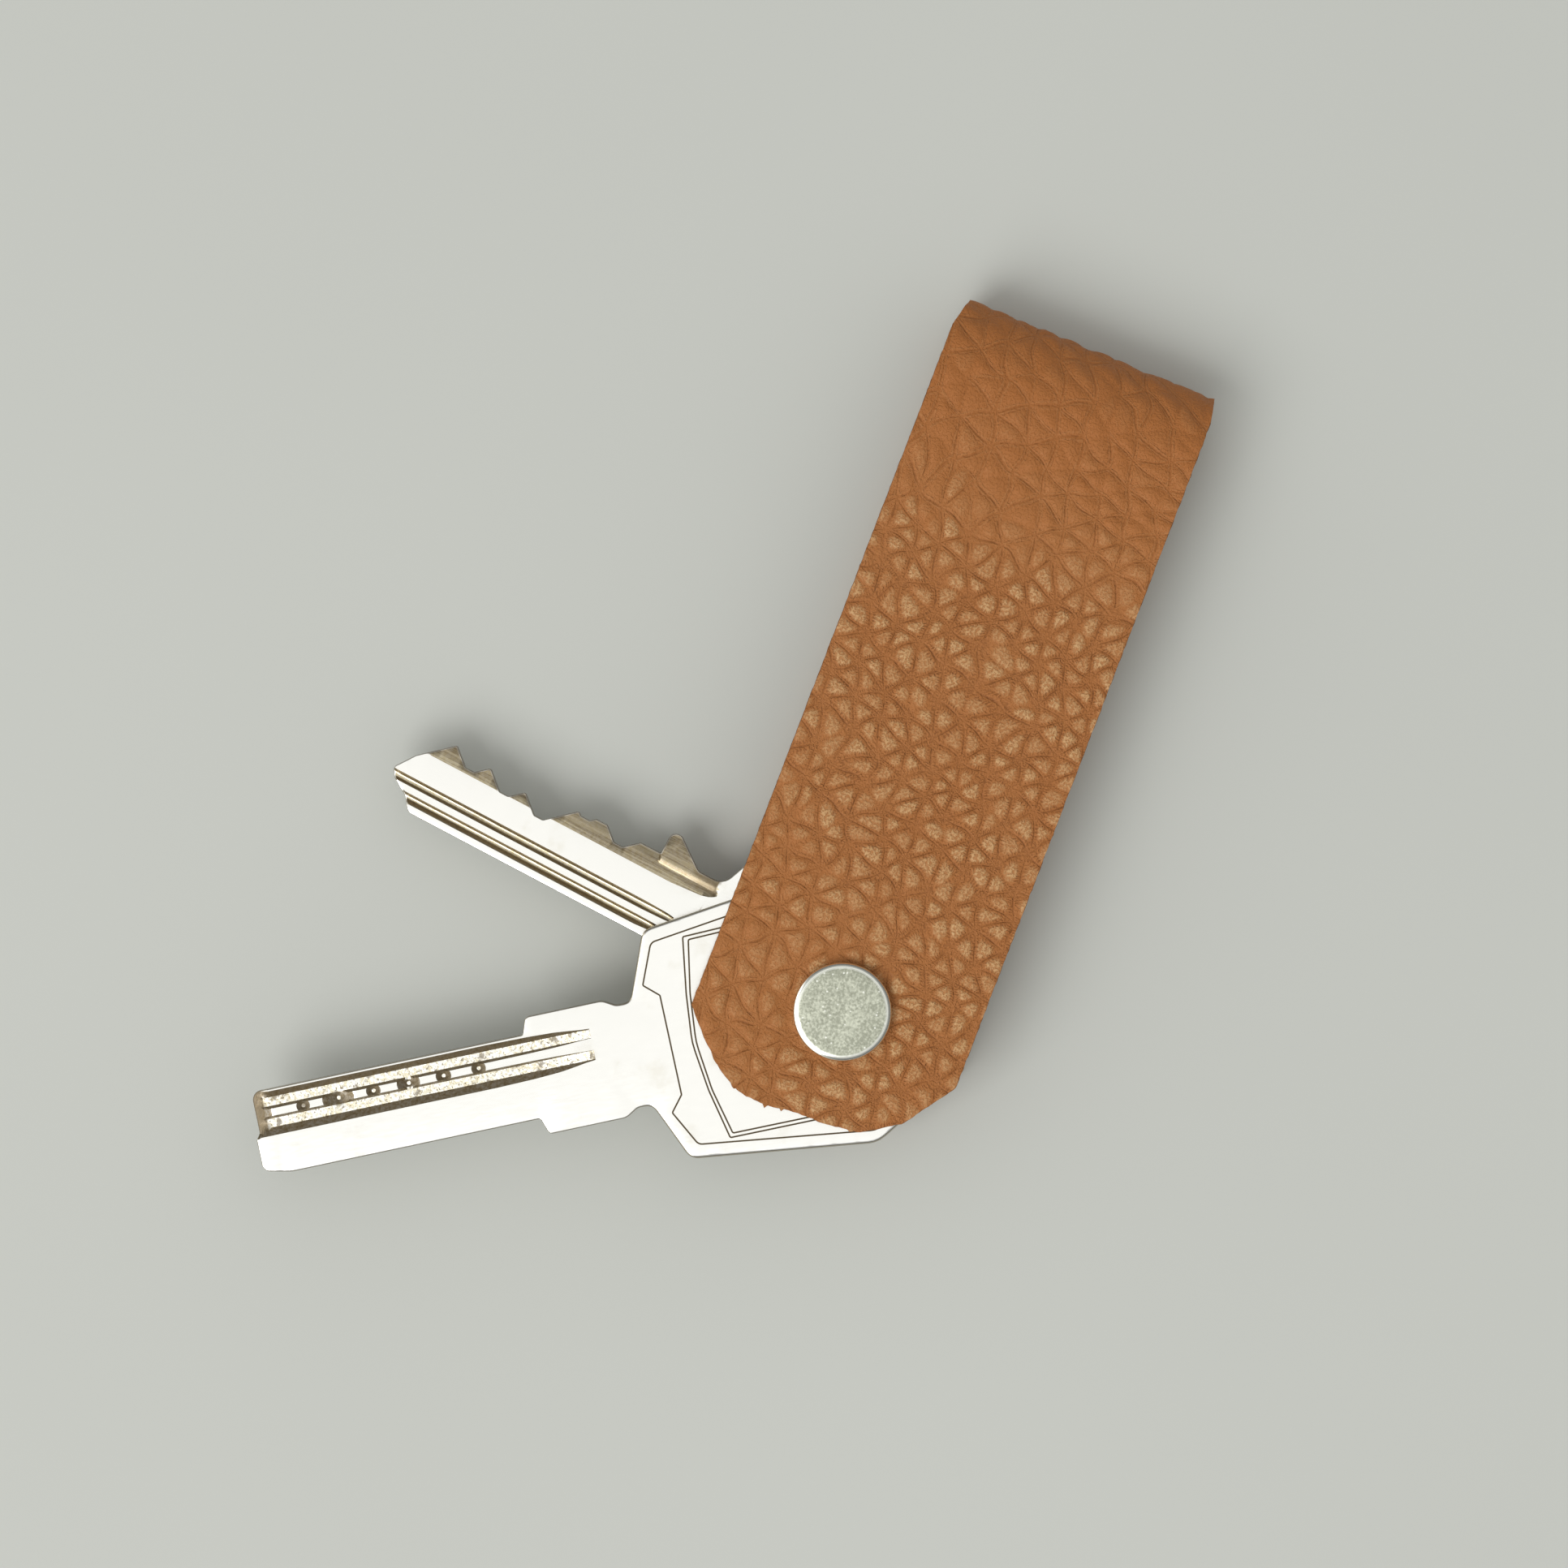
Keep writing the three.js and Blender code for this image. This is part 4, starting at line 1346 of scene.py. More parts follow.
    def build(self, post: Vector) -> bpy.types.Object:
        """Makes the strap's mesh.

        Args:
            post: The post's axis in the row frame, in metres.

        Returns:
            The strap.
        """
        rows = self.stations()
        count = round((self.left - self.right) / self.fine / self.coarse)
        columns = np.linspace(self.right, self.left, self.coarse * count + 1)
        flat, faces, loops = self.grid(rows, columns)
        inner_flat, inner_faces, inner_loops = self.grid(rows[:: self.coarse], columns[:: self.coarse])
        along, across = flat.T
        height = self.relief(self.masks(flat)) * ease(*self.grain_rim, self.radius(along, across))
        outer = self.place(along, across, height + self.seat(along, across))
        inner = self.place(*inner_flat.T, np.full(len(inner_flat), -self.thickness))
        wall_flats, wall_points = self.wall(loops[0])
        base = len(outer) + len(wall_points) * len(loops[0].corners)
        edge_faces = self.edge_faces(len(outer), base, loops, inner_loops)
        points = np.vstack([outer, *wall_points, inner]) + np.array([post.x, post.y, 0]) / MM
        flesh_faces = [tuple(face) for face in (base + inner_faces[:, ::-1]).tolist()]
        strap = mesh_piece(self.name, points, faces.tolist() + edge_faces + flesh_faces, self.sharp)
        self.dress(strap, len(faces), len(edge_faces))
        for mask, values in self.masks(np.vstack([flat, *wall_flats, inner_flat])).items():
            carry(strap, mask, values)
        return strap

    def masks(self, flat: Array) -> dict[Mask, Array]:
        """Says where the grain lies dull, without the painted crest highlight, and where the fold stretches
        it.

        Args:
            flat: Places on the flat cut.

        Returns:
            What the grain's pattern reads.
        """
        along, across = flat.T
        dull_zones = self.dull_zones
        bare = self.reach(along)
        reach = bare + dull_zones.sway * self.rough.at(along / dull_zones.patch, across / dull_zones.patch)
        stretch = ease(*dull_zones.stretched, bare)
        side = dull_zones.side_share * ease(*dull_zones.side, across)
        tip = dull_zones.tip_share * ease(*dull_zones.tip, reach) * ease(*dull_zones.corner, across + dull_zones.slant * reach)
        dull = np.maximum(np.clip(side + tip, 0, dull_zones.most), ease(*dull_zones.fold, reach))
        counted = self.grain.cell_place(flat, stretch)
        return {Mask.FLAT: flat, Mask.CELL: counted, Mask.DULL: dull, Mask.STRETCH: stretch}

    def relief(self, masks: dict[Mask, Array]) -> Array:
        """Reads the height of the grain at places of the flat cut, in millimetres."""
        sampler = Sampler("grain_sampler")
        pattern = self.grain.pattern(sampler)
        height = pattern.dome * self.grain.dome + pattern.fine * (self.grain.fine / 2)
        return sampler.read(height, masks)

    def dress(self, strap: bpy.types.Object, grain_faces: int, edge_faces: int) -> None:
        """Gives the grain, the cut edge and the flesh side their finishes.

        Args:
            strap: The strap, with the grain's faces first and the edge's next.
            grain_faces: How many faces the grain side has.
            edge_faces: How many faces the cut edge has.
        """
        edge = RawFinish("cut_edge", screen(158, 108, 66), screen(112, 70, 38), Cloud(2600, 4, 0.7))
        flesh = RawFinish("flesh_side", screen(182, 140, 98), screen(146, 104, 66), Cloud(1500, 4, 0.7))
        for finish in (GrainFinish(self.grain), edge, flesh):
            strap.data.materials.append(finish.material())
        which = np.full(len(strap.data.polygons), 2, np.int32)
        which[:grain_faces] = 0
        which[grain_faces : grain_faces + edge_faces] = 1
        strap.data.polygons.foreach_set("material_index", which)


def rounded(corners: Sequence[Triple], arc: float = 0.22, share: float = 0.49) -> Array:
    """Rounds the corners of a closed outline.

    Args:
        corners: Each corner's place and radius, counter-clockwise.
        arc: Angle in radians between points on a rounding.
        share: The share of a side that one rounding may take up.

    Returns:
        The outline's points.
    """
    places = np.array(corners)[:, :2]
    points: list[Array] = []
    for i, (x, y, radius) in enumerate(corners):
        corner = np.array([x, y])
        back, ahead = places[i - 1] - corner, places[(i + 1) % len(places)] - corner
        room = share * min(np.linalg.norm(back), np.linalg.norm(ahead))
        back, ahead = back / np.linalg.norm(back), ahead / np.linalg.norm(ahead)
        half = math.acos(np.clip(back @ ahead, -1, 1)) / 2
        reach = min(radius / math.tan(half), room)
        centre = corner + (back + ahead) / np.linalg.norm(back + ahead) * reach / math.cos(half)
        start, end = corner + back * reach - centre, corner + ahead * reach - centre
        first, last = math.atan2(start[1], start[0]), math.atan2(end[1], end[0])
        sweep = (last - first + math.pi) % (2 * math.pi) - math.pi
        for angle in np.linspace(first, first + sweep, max(3, math.ceil(abs(sweep) / arc) + 1)):
            points.append(centre + np.linalg.norm(start) * np.array([math.cos(angle), math.sin(angle)]))
    return np.array(points)


def sampled(line: Array, longest: float) -> Array:
    """Divides the long steps of a line."""
    points = [line[0]]
    for here, there in zip(line, line[1:]):
        steps = max(1, math.ceil(np.linalg.norm(there - here) / longest))
        points += [here + (there - here) * step / steps for step in range(1, steps + 1)]
    return np.array(points)


def closed(line: Array) -> Array:
    """Repeats a line's first point at its end."""
    return np.vstack([line, line[:1]])


def divided(outline: Array, longest: float) -> Array:
    """Divides the long sides of a closed outline."""
    return sampled(closed(outline), longest)[:-1]


def inset(outline: Array, width: Array, sharpest: float = 0.5) -> Array:
    """Moves a counter-clockwise outline inwards.

    Args:
        outline: The outline's points.
        width: How far each point moves.
        sharpest: Cosine of half the turn beyond which a corner moves no farther.

    Returns:
        The moved points.
    """
    normal = left_of(unit(np.roll(outline, -1, axis=0) - outline))
    mean = unit(normal + np.roll(normal, 1, axis=0))
    slant = np.clip(np.sum(mean * normal, axis=1), sharpest, 1)
    return outline + mean * (width / slant)[:, None]


def inside(points: Array, outline: Array) -> Array:
    """Says which points lie inside a closed outline."""
    x, y = points[:, 0, None], points[:, 1, None]
    here, there = outline, np.roll(outline, -1, axis=0)
    crossing = (here[:, 1] > y) != (there[:, 1] > y)
    rise = np.where(there[:, 1] == here[:, 1], TINY, there[:, 1] - here[:, 1])
    at = here[:, 0] + (y - here[:, 1]) * (there[:, 0] - here[:, 0]) / rise
    return (np.sum(crossing & (x < at), axis=1) % 2).astype(bool)


def gap_to(points: Array, line: Array) -> Array:
    """Gives the distance of points from a line of straight pieces.

    Args:
        points: Points to look at.
        line: The line's points, in order.

    Returns:
        The shortest distance of each point.
    """
    start, step = line[:-1], np.diff(line, axis=0)
    length = np.maximum(np.sum(step * step, axis=1), TINY)
    reach = points[:, None] - start[None]
    share = np.clip(np.sum(reach * step[None], axis=2) / length, 0, 1)
    return np.min(np.linalg.norm(reach - share[..., None] * step[None], axis=2), axis=1)


@dataclass(frozen=True)
class Groove:
    """A milled groove: depths across it as (y, depth), and how far its cutter is down as (x, share)."""

    profile: tuple[Point, ...]
    sink: tuple[Point, ...]


@dataclass
class Relief:
    """What is milled and engraved in one face of a key, and where it is darkened."""

    LINE_WIDTH = 0.17
    LINE_DEPTH = 0.09
    STEP = 0.35
    LEDGE = 0.04
    RING = 21

    cuts: list[DepthAt] = field(default_factory=list)
    creases: list[Array] = field(default_factory=list)
    engraved: list[DepthAt] = field(default_factory=list)
    soiled: list[DepthAt] = field(default_factory=list)

    def milled(self, x: Array, y: Array) -> Array:
        """Gives the depth of the milled forms alone."""
        return np.maximum.reduce([np.zeros(np.shape(x)), *(cut(x, y) for cut in self.cuts)])

    def depth(self, x: Array, y: Array) -> Array:
        """Gives the whole depth below the flat face."""
        return np.maximum.reduce([self.milled(x, y), *(line(x, y) for line in self.engraved)])

    def line(self, x: Array, y: Array) -> Array:
        """Gives 1 at the bottom of an engraved line, the share of darkening where darkened, and 0
        elsewhere.
        """
        lines = [line(x, y) / self.LINE_DEPTH for line in self.engraved]
        return np.maximum.reduce([np.zeros(np.shape(x)), *lines, *(soil(x, y) for soil in self.soiled)])

    def crease(self, *points: Point) -> None:
        """Divides the face along a line."""
        self.creases.append(np.array(points))

    def mill(self, groove: Groove, end: float) -> None:
        """Mills a long groove along X.

        Args:
            groove: The groove, with y and x rising in its tables.
            end: Where the groove stops.
        """
        across, depths = np.array(groove.profile).T
        stations, shares = np.array(groove.sink).T
        full = depths.max()

        def cut(x: Array, y: Array) -> Array:
            """Depth of this groove."""
            lifted = full * (1 - np.interp(x, stations, shares))
            level = np.interp(y, across, depths, left=0, right=0) - lifted
            return np.where((x >= stations[0]) & (x <= end), np.maximum(level, 0), 0)

        self.cuts.append(cut)
        edges = np.append(np.arange(stations[0], stations[-1], self.STEP), [stations[-1], end])
        rise = full * (1 - np.interp(edges, stations, shares))
        left, right = int(np.argmax(depths)), len(depths) - 1 - int(np.argmax(depths[::-1]))
        low = np.interp(rise, depths[: left + 1], across[: left + 1])
        high = np.interp(rise, depths[right:][::-1], across[right:][::-1])
        for bound in (low, high):
            self.creases.append(np.column_stack([edges, bound]))
        for place, depth in groove.profile[1:-1]:
            reached = edges[rise < depth]
            if len(reached) > 1:
                self.creases.append(np.column_stack([reached, np.full(len(reached), place)]))
        for start in (edges[0], edges[0] - self.LEDGE):
            self.crease((start, low[0]), (start, high[0]))

    def drill(self, x0: float, y0: float, radius: float, depth: float, floor: float) -> None:
        """Drills a cone-sided dimple.

        Args:
            x0: Place along.
            y0: Place across.
            radius: Radius at the face.
            depth: Depth of the floor.
            floor: Radius of the floor.
        """

        def cut(x: Array, y: Array) -> Array:
            """Depth of this dimple."""
            away = np.hypot(x - x0, y - y0)
            return np.clip((radius - away) / (radius - floor), 0, 1) * depth

        self.cuts.append(cut)
        turn = np.linspace(0, 2 * math.pi, self.RING)
        for ring in (radius, floor, (radius + floor) / 2):
            self.creases.append(np.column_stack([x0 + ring * np.cos(turn), y0 + ring * np.sin(turn)]))

    def slope(self, stations: Sequence[Point], low: float, high: float) -> None:
        """Slopes the face down along X, between two bounds in Y.

        Args:
            stations: Depths along the slope as (x, depth).
            low: The lower bound.
            high: The upper bound.
        """
        places, depths = np.array(stations).T

        def cut(x: Array, y: Array) -> Array:
            """Depth of this slope."""
            return np.where((y >= low) & (y <= high), np.interp(x, places, depths), 0)

        self.cuts.append(cut)
        for place in places:
            self.crease((place, low), (place, high))
        for bound in (low, low - self.LEDGE, high, high + self.LEDGE):
            self.crease((places[0], bound), (places[-1], bound))

    def engrave(self, line: Array) -> None:
        """Engraves a fine V-shaped line."""
        half = self.LINE_WIDTH / 2

        def cut(x: Array, y: Array) -> Array:
            """Depth of this line."""
            points = np.column_stack([np.ravel(x), np.ravel(y)])
            share = np.clip(1 - gap_to(points, line) / half, 0, 1)
            return np.reshape(share * self.LINE_DEPTH, np.shape(x))

        self.engraved.append(cut)
        aside = left_of(unit(np.gradient(line, axis=0)))
        for shift in (-half, 0, half):
            self.creases.append(line + aside * shift)


@dataclass
class Shell:
    """Corners, marks and faces of a mesh, added ring by ring."""

    points: list[Array] = field(default_factory=list)
    marks: list[Array] = field(default_factory=list)
    faces: list[Face] = field(default_factory=list)
    count: int = 0

    def add(self, flat: Array, level: Array, marks: Array) -> Array:
        """Adds corners.

        Args:
            flat: Their places seen from above.
            level: Their heights.
            marks: What is engraved or soiled there.

        Returns:
            The numbers of the corners.
        """
        self.points.append(np.column_stack([flat, level]))
        self.marks.append(marks)
        self.count += len(flat)
        return np.arange(self.count - len(flat), self.count)

    def join(self, rings: Sequence[Array]) -> None:
        """Joins rings of as many corners, each to the next."""
        for first, second in zip(rings, rings[1:]):
            self.faces += strip(first, second)


@dataclass
class KeyBlank:
    """A key cut from plate, with softened edges and a relief on each face."""

    name: str
    angle: float
    base: float
    thickness: float
    milling: Milling
    blade_edge: float
    bow_edge: float
    bow_end: Point
    hole: float = 2.75
    hole_edge: float = 0.15
    hole_sides: int = 48
    round_steps: int = 3
    clear: float = 0.05
    longest: float = 0.6
    crease_step: float = 0.3
    merge: float = 1e-4
    milled_from: float = 0.015
    sharp: float = 34.0

    def outline(self) -> Array:
        """Gives the key's outline, counter-clockwise."""
        raise NotImplementedError

    def top(self) -> Relief:
        """Gives the relief of the upper face."""
        raise NotImplementedError

    def bottom(self) -> Relief:
        """Gives the relief of the lower face."""
        raise NotImplementedError

    def edge(self, outline: Array) -> Array:
        """Gives the width of the softened edge, fine on the blade and broader on the bow."""
        return self.blade_edge + self.bow_edge * (1 - ease(*self.bow_end, outline[:, 0]))

    def face(self, rim: Array, eye: Array, relief: Relief) -> tuple[Array, list[Face]]:
        """Divides a face along every crease of its relief.

        Args:
            rim: The face's outer edge.
            eye: The edge of the hole.
            relief: The face's relief.

        Returns:
            The points, those of the rim and the eye first, and the triangles.
        """
        points = [rim, eye]
        edges: list[tuple[int, int]] = []
        count = 0
        for ring in points:
            edges += [(count + i, count + (i + 1) % len(ring)) for i in range(len(ring))]
            count += len(ring)
        for crease in relief.creases:
            line = sampled(crease, self.crease_step)
            kept = inside(line, rim) & ~inside(line, eye)
            kept &= (gap_to(line, closed(rim)) > self.clear) & (gap_to(line, closed(eye)) > self.clear)
            points.append(line[kept])
            number = (count + np.cumsum(kept) - 1).tolist()
            both = kept[:-1] & kept[1:]
            edges += [(number[i], number[i + 1]) for i in np.flatnonzero(both)]
            count += int(kept.sum())
        flat = np.vstack(points)
        found = delaunay_2d_cdt([Vector(p) for p in flat], edges, [], 0, self.merge)
        made = np.array([[v.x, v.y] for v in found[0]])
        triangles = np.array([face for face in found[2] if len(face) == 3])
        middle = made[triangles].mean(axis=1)
        triangles = triangles[inside(middle, rim) & ~inside(middle, eye)]
        place = {source: k for k, sources in enumerate(found[3]) for source in sources}
        fixed = [place[i] for i in range(len(rim) + len(eye))]
        others = np.setdiff1d(np.unique(triangles), fixed)
        order = np.concatenate([fixed, others])
        number = np.zeros(len(made), int)
        number[order] = np.arange(len(order))
        return made[order], [tuple(int(k) for k in face) for face in number[triangles]]

    def build(self, post: Vector) -> bpy.types.Object:
        """Makes the key's mesh.

        Args:
            post: The post's axis in the row frame, in metres.

        Returns:
            The key.
        """
        outline = divided(self.outline(), self.longest)
        width = self.edge(outline)
        rim = inset(outline, width)
        turn = np.linspace(0, 2 * math.pi, self.hole_sides, endpoint=False)
        circle = np.column_stack([np.cos(turn), np.sin(turn)])
        eye = circle * (self.hole + self.hole_edge)
        sides = (self.top(), 1), (self.bottom(), -1)
        shell = Shell()
        milled: list[Array] = []
        rims, eyes, walls, bores = [], [], [], []
        for relief, up in sides:
            flat, triangles = self.face(rim, eye, relief)
            numbers = shell.add(flat, self.level(relief.depth(*flat.T), up), relief.line(*flat.T))
            shell.faces += [tuple(numbers[k] for k in face[::up]) for face in triangles]
            middle = flat[np.array(triangles)].mean(axis=1)
            milled.append(relief.milled(*middle.T) > self.milled_from)
            rims.append(numbers[: len(rim)])
            eyes.append(numbers[len(rim) : len(rim) + len(eye)])
        for (relief, up), first in zip(sides, rims):
            depth = relief.depth(*rim.T)
            rings = [first]
            for step in range(1, self.round_steps + 1):
                share = step / self.round_steps * math.pi / 2
                ring = rim + (outline - rim) * math.sin(share)
                level = self.level(depth + width * (1 - math.cos(share)), up)
                rings.append(shell.add(ring, level, relief.line(*ring.T)))
            shell.join(rings)
            walls.append(rings[-1])
        shell.join(walls)
        for _, up in sides:
            level = self.level(np.full(self.hole_sides, self.hole_edge), up)
            bores.append(shell.add(circle * self.hole, level, np.zeros(self.hole_sides)))
        for ring, bore in zip(eyes, bores):
            shell.join((ring, bore))
        shell.join(bores)
        faces = [tuple(map(int, face)) for face in shell.faces]
        key = mesh_piece(self.name, self.placed(np.vstack(shell.points), post), faces, self.sharp)
        self.dress(key, np.concatenate(milled).astype(float), np.concatenate(shell.marks))
        return key

    def dress(self, key: bpy.types.Object, milled: Array, marks: Array) -> None:
        """Gives the key its finish.

        Args:
            key: The key, with the faces of its two sides first.
            milled: 1 for each of those faces that is milled, and 0 for the others.
            marks: What is engraved or soiled at each corner.
        """
        carry(key, Mask.MILLED, np.append(milled, np.zeros(len(key.data.polygons) - len(milled))), "FACE")
        carry(key, Mask.ENGRAVED, marks)
        key.data.materials.append(KeyFinish(self.name + "_metal", self.angle, self.milling).material())

    def level(self, depth: Array, up: int) -> Array:
        """Gives the height of a face that lies a depth below the key's top or above its bottom."""
        return self.thickness - depth if up > 0 else depth

    def placed(self, points: Array, post: Vector) -> Array:
        """Turns the key about the post and lifts it to its level."""
        turn = math.radians(self.angle)
        x = points[:, 0] * math.cos(turn) - points[:, 1] * math.sin(turn)
        y = points[:, 0] * math.sin(turn) + points[:, 1] * math.cos(turn)
        return np.column_stack([x + post.x / MM, y + post.y / MM, points[:, 2] + self.base])


@dataclass
class DimpleKey(KeyBlank):
    """The upper key: a broad bow with engraved borders and a blade with two tracks of dimples."""

    name: str = "dimple_key_dressed"
    angle: float = 123.0
    base: float = 5.75
    thickness: float = 2.4
    milling: Milling = PITTED
    blade_edge: float = 0.17
    bow_edge: float = 0.2
    bow_end: Point = (19.0, 24.0)
    blade: float = 8.74
    tip: float = 61.0
    tip_step: float = 0.35
    stop: float = 32.3
    rail: float = -1.97
    track_depth: float = 0.6
    track_edges: tuple[tuple[float, ...], ...] = ((-1.6, -1.33, -0.44, 0.37), (-4.12, -3.5, -2.62, -2.34))
    track_sink: tuple[Point, ...] = (
        (25.6, 0.14), (26.5, 0.24), (28.0, 0.52), (29.3, 0.72), (32.0, 0.9), (36.0, 1.0),
    )
    pits: tuple[Triple, ...] = (
        (37.4, 0.75, 0.5), (41.05, 0.8, 0.55), (44.7, 1.2, 0.8), (48.35, 0.75, 0.5),
        (52.0, 1.65, 1.0), (55.65, 0.7, 0.45),
    )
    pit_floor: float = 0.2
    slope_run: tuple[Point, ...] = ((58.9, 0), (59.7, 0.45), (60.7, 1.1))
    slope_side: Point = (-5.0, 0.2)
    # Share of darkening on the tip's sloped face.
    soil: float = 0.95
    soil_run: Point = (59.4, 59.7)
    collar: tuple[Triple, ...] = ((31.7, 6.1, 0.6), (23.7, 6.1, 1.5), (22.4, 5.35, 1.0), (20.9, 5.35, 1.4))
    bow: tuple[Triple, ...] = ((18.2, 11.9, 1.5), (-0.8, 14.25, 3.0), (-8.4, 10.0, 4.0))
    bow_shift: float = -0.35
    border_step: float = 0.8

    def outline(self) -> Array:
        """Gives the key's outline: blade, collar, neck and bow."""
        half = self.blade / 2
        blade = [
            (self.tip - self.tip_step, -half, 1.0),
            (self.tip - self.tip_step, -0.1, 0.12),
            (self.tip, 0.5, 0.4),
            (self.tip, 3.75, 0.9),
            (self.tip - 2.9, half, 3.0),
        ]
        left = [(self.stop, half, 0.3), *self.collar]
        left_bow = [(x, self.bow_shift + y, radius) for x, y, radius in self.bow]
        right_bow = [(x, self.bow_shift - y, radius) for x, y, radius in self.bow[::-1]]
        right = [(x, -y, radius) for x, y, radius in left[::-1]]
        return rounded(blade + left + left_bow + right_bow + right)

    def top(self) -> Relief:
        """Gives the tracks, the dimples, the run down to the darkened tip and the bow's borders."""
        relief = Relief()
        for edges in self.track_edges:
            profile = tuple(zip(edges, (0, self.track_depth, self.track_depth, 0)))
            relief.mill(Groove(profile, self.track_sink), self.tip + 1)
        for x, radius, depth in self.pits:
            relief.drill(x, self.rail, radius, depth, self.pit_floor)
        relief.slope(self.slope_run, *self.slope_side)
        # The tip's sloped face is darkened towards its end.
        relief.soiled.append(lambda x, y: self.soil * ease(*self.soil_run, x) * (y < self.slope_side[1]))
        for line in self.borders():
            relief.engrave(line)
        return relief

    def bottom(self) -> Relief:
        """Gives the same face turned over, so that the key works either way up."""
        relief = self.top()
        turned = Relief(creases=[crease * (1, -1) for crease in relief.creases])
        turned.cuts.append(lambda x, y: relief.milled(x, -y))
        turned.engraved.extend(lambda x, y, line=line: line(x, -y) for line in relief.engraved)
        turned.soiled.extend(lambda x, y, soil=soil: soil(x, -y) for soil in relief.soiled)
        return turned

    def borders(self) -> list[Array]:
        """Gives the engraved border of the bow and the double line of its panel."""
        frame = (
            (-1.0, 12.6, 2.0), (17.1, 10.25, 0.8), (19.05, 6.55, 0.2), (17.75, 4.95, 0.2),
            (17.8, -5.4, 0.2), (19.3, -6.75, 0.2), (17.6, -10.85, 0.8), (-1.0, -13.2, 2.0),
            (-7.2, -9.6, 3.0), (-7.2, 9.0, 3.0),
        )
        outer = (
            (13.8, 10.25, 0.2), (14.95, 5.1, 6), (15.6, 0, 8), (15.15, -5, 6), (14.3, -10.75, 0.2),
            (-3.5, -11.2, 1), (-3.5, 10.3, 1),
        )
        within = (
            (13.45, 9.85, 0.2), (14.6, 5.1, 6), (15.2, 0, 8), (14.75, -5, 6), (13.8, -10.35, 0.2),
            (-3.0, -10.8, 1), (-3.0, 9.9, 1),
        )
        return [closed(divided(rounded(line[::-1]), self.border_step)) for line in (frame, outer, within)]


@dataclass
class CutKey(KeyBlank):
    """The lower key: a plain bow and a grooved blade with five cuts."""

    name: str = "cut_key_dressed"
    angle: float = 83.1
    base: float = 3.4
    thickness: float = 2.2
    milling: Milling = DRAWN
    blade_edge: float = 0.13
    bow_edge: float = 0.15
    bow_end: Point = (14.0, 18.0)
    longest: float = 0.35
    stop: float = 23.85
    spine: float = 2.88
    uncut: float = -5.48
    first: float = 4.25
    pitch: float = 4.25
    depths: tuple[float, ...] = (1.25, 0.45, 2.62, 2.15, 1.6)
    root: float = 1.0
    flank: float = 0.88
    root_round: float = 0.3
    peak_round: float = 0.3
    land_round: float = 0.2
    nose: float = 7.05
    nose_corners: tuple[Triple, ...] = (
        (-1.5, -5.5, 0.3), (0, -3.4, 0.6), (-0.55, -2.55, 0.5), (-2.4, -1.35, 0.5), (-3.5, 0, 0.9),
    )
    neck: float = 5.65
    neck_round: float = 1.6
    hump: float = 4.3
    hump_drop: float = 3.4
    hump_rounds: Triple = (1.0, 1.1, 0.15)
    bow_front: float = 7.1
    bow_side: float = 2.5
    bow_half: float = 12.2
    bow_round: float = 6.5
    bow_back: float = -8.8
    upper: Groove = Groove(
        profile=(
            (1.12, 0), (1.2, 0.22), (1.34, 0.4), (1.5, 0.48), (1.62, 0.48), (1.78, 0.38),
            (1.92, 0.22), (2.04, 0.09), (2.16, 0),
        ),
        sink=((18.0, 0.1), (19.0, 0.4), (21.5, 0.85), (23.0, 1)),
    )
    middle: Groove = Groove(
        profile=(
            (-0.5, 0), (-0.41, 0.22), (-0.26, 0.4), (-0.1, 0.48), (0.06, 0.48), (0.22, 0.4),
            (0.37, 0.22), (0.46, 0),
        ),
        sink=((19.6, 0.3), (20.5, 0.6), (23.0, 1)),
    )
    lower: Groove = Groove(
        profile=(
            (-9.2, 0), (-9.1, 0.46), (-5.15, 0.46), (-4.75, 0.5), (-4.6, 0.6), (-4.25, 0.6),
            (-3.34, 0),
        ),
        sink=((16.75, 0.06), (17.3, 0.45), (18.2, 0.72), (21.5, 1)),
    )
    facet_line: tuple[Point, ...] = ((19.9, -6.45), (22.3, -6.55), (23.75, -6.2))
    facet_from: float = 19.0
    facet_past: float = 0.1
    facet_depth: float = 0.46
    facet_slope: float = 0.55
    facet_most: float = 1.15
    thin_from: float = -4.62
    thin_depth: float = 0.6
    thin_slope: float = 0.42
    # Painted shade on the thinned cut edge: where it starts, the run over which it deepens, and its least
    # and extra darkness.
    soil_from: Point = (16.7, -3.4)
    soil_run: Point = (21.0, 17.5)
    soil_least: float = 0.55
    soil_more: float = 0.3
    soil_depth: float = 0.05
    under_grooves: tuple[Point, ...] = ((0.88, 1.78), (-2.62, -1.42))
    under_depth: float = 0.5
    under_wall: float = 0.16
    under_sink: tuple[Point, ...] = ((19.85, 0.15), (20.85, 0.6), (22.85, 1))

    def tip(self) -> float:
        """Gives the reach of the key's tip."""
        return self.stop + self.first + (len(self.depths) - 1) * self.pitch + self.nose

    def cuts(self) -> list[Triple]:
        """Gives the corners of the cut edge from the shoulder to the nose."""
        corners: list[Triple] = []
        last: Point | None = None
        for i, depth in enumerate(self.depths):
            root = self.stop + self.first + i * self.pitch - self.root / 2, self.uncut + depth
            corners += self.peak(last, root) if last else [self.land(root, -1)]
            last = root[0] + self.root, root[1]
            corners += [(*root, self.root_round), (*last, self.root_round)]
        return corners + [self.land(last, 1)]

    def peak(self, last: Point, root: Point) -> list[Triple]:
        """Gives the peak between two cuts, or the uncut land where their flanks don't meet.

        Args:
            last: End of the earlier cut's root.
            root: Start of the later cut's root.

        Returns:
            The corners between them.
        """
        level = (last[1] + root[1] - self.flank * (root[0] - last[0])) / 2
        if level > self.uncut:
            return [(last[0] + (last[1] - level) / self.flank, level, self.peak_round)]
        return [self.land(last, 1), self.land(root, -1)]

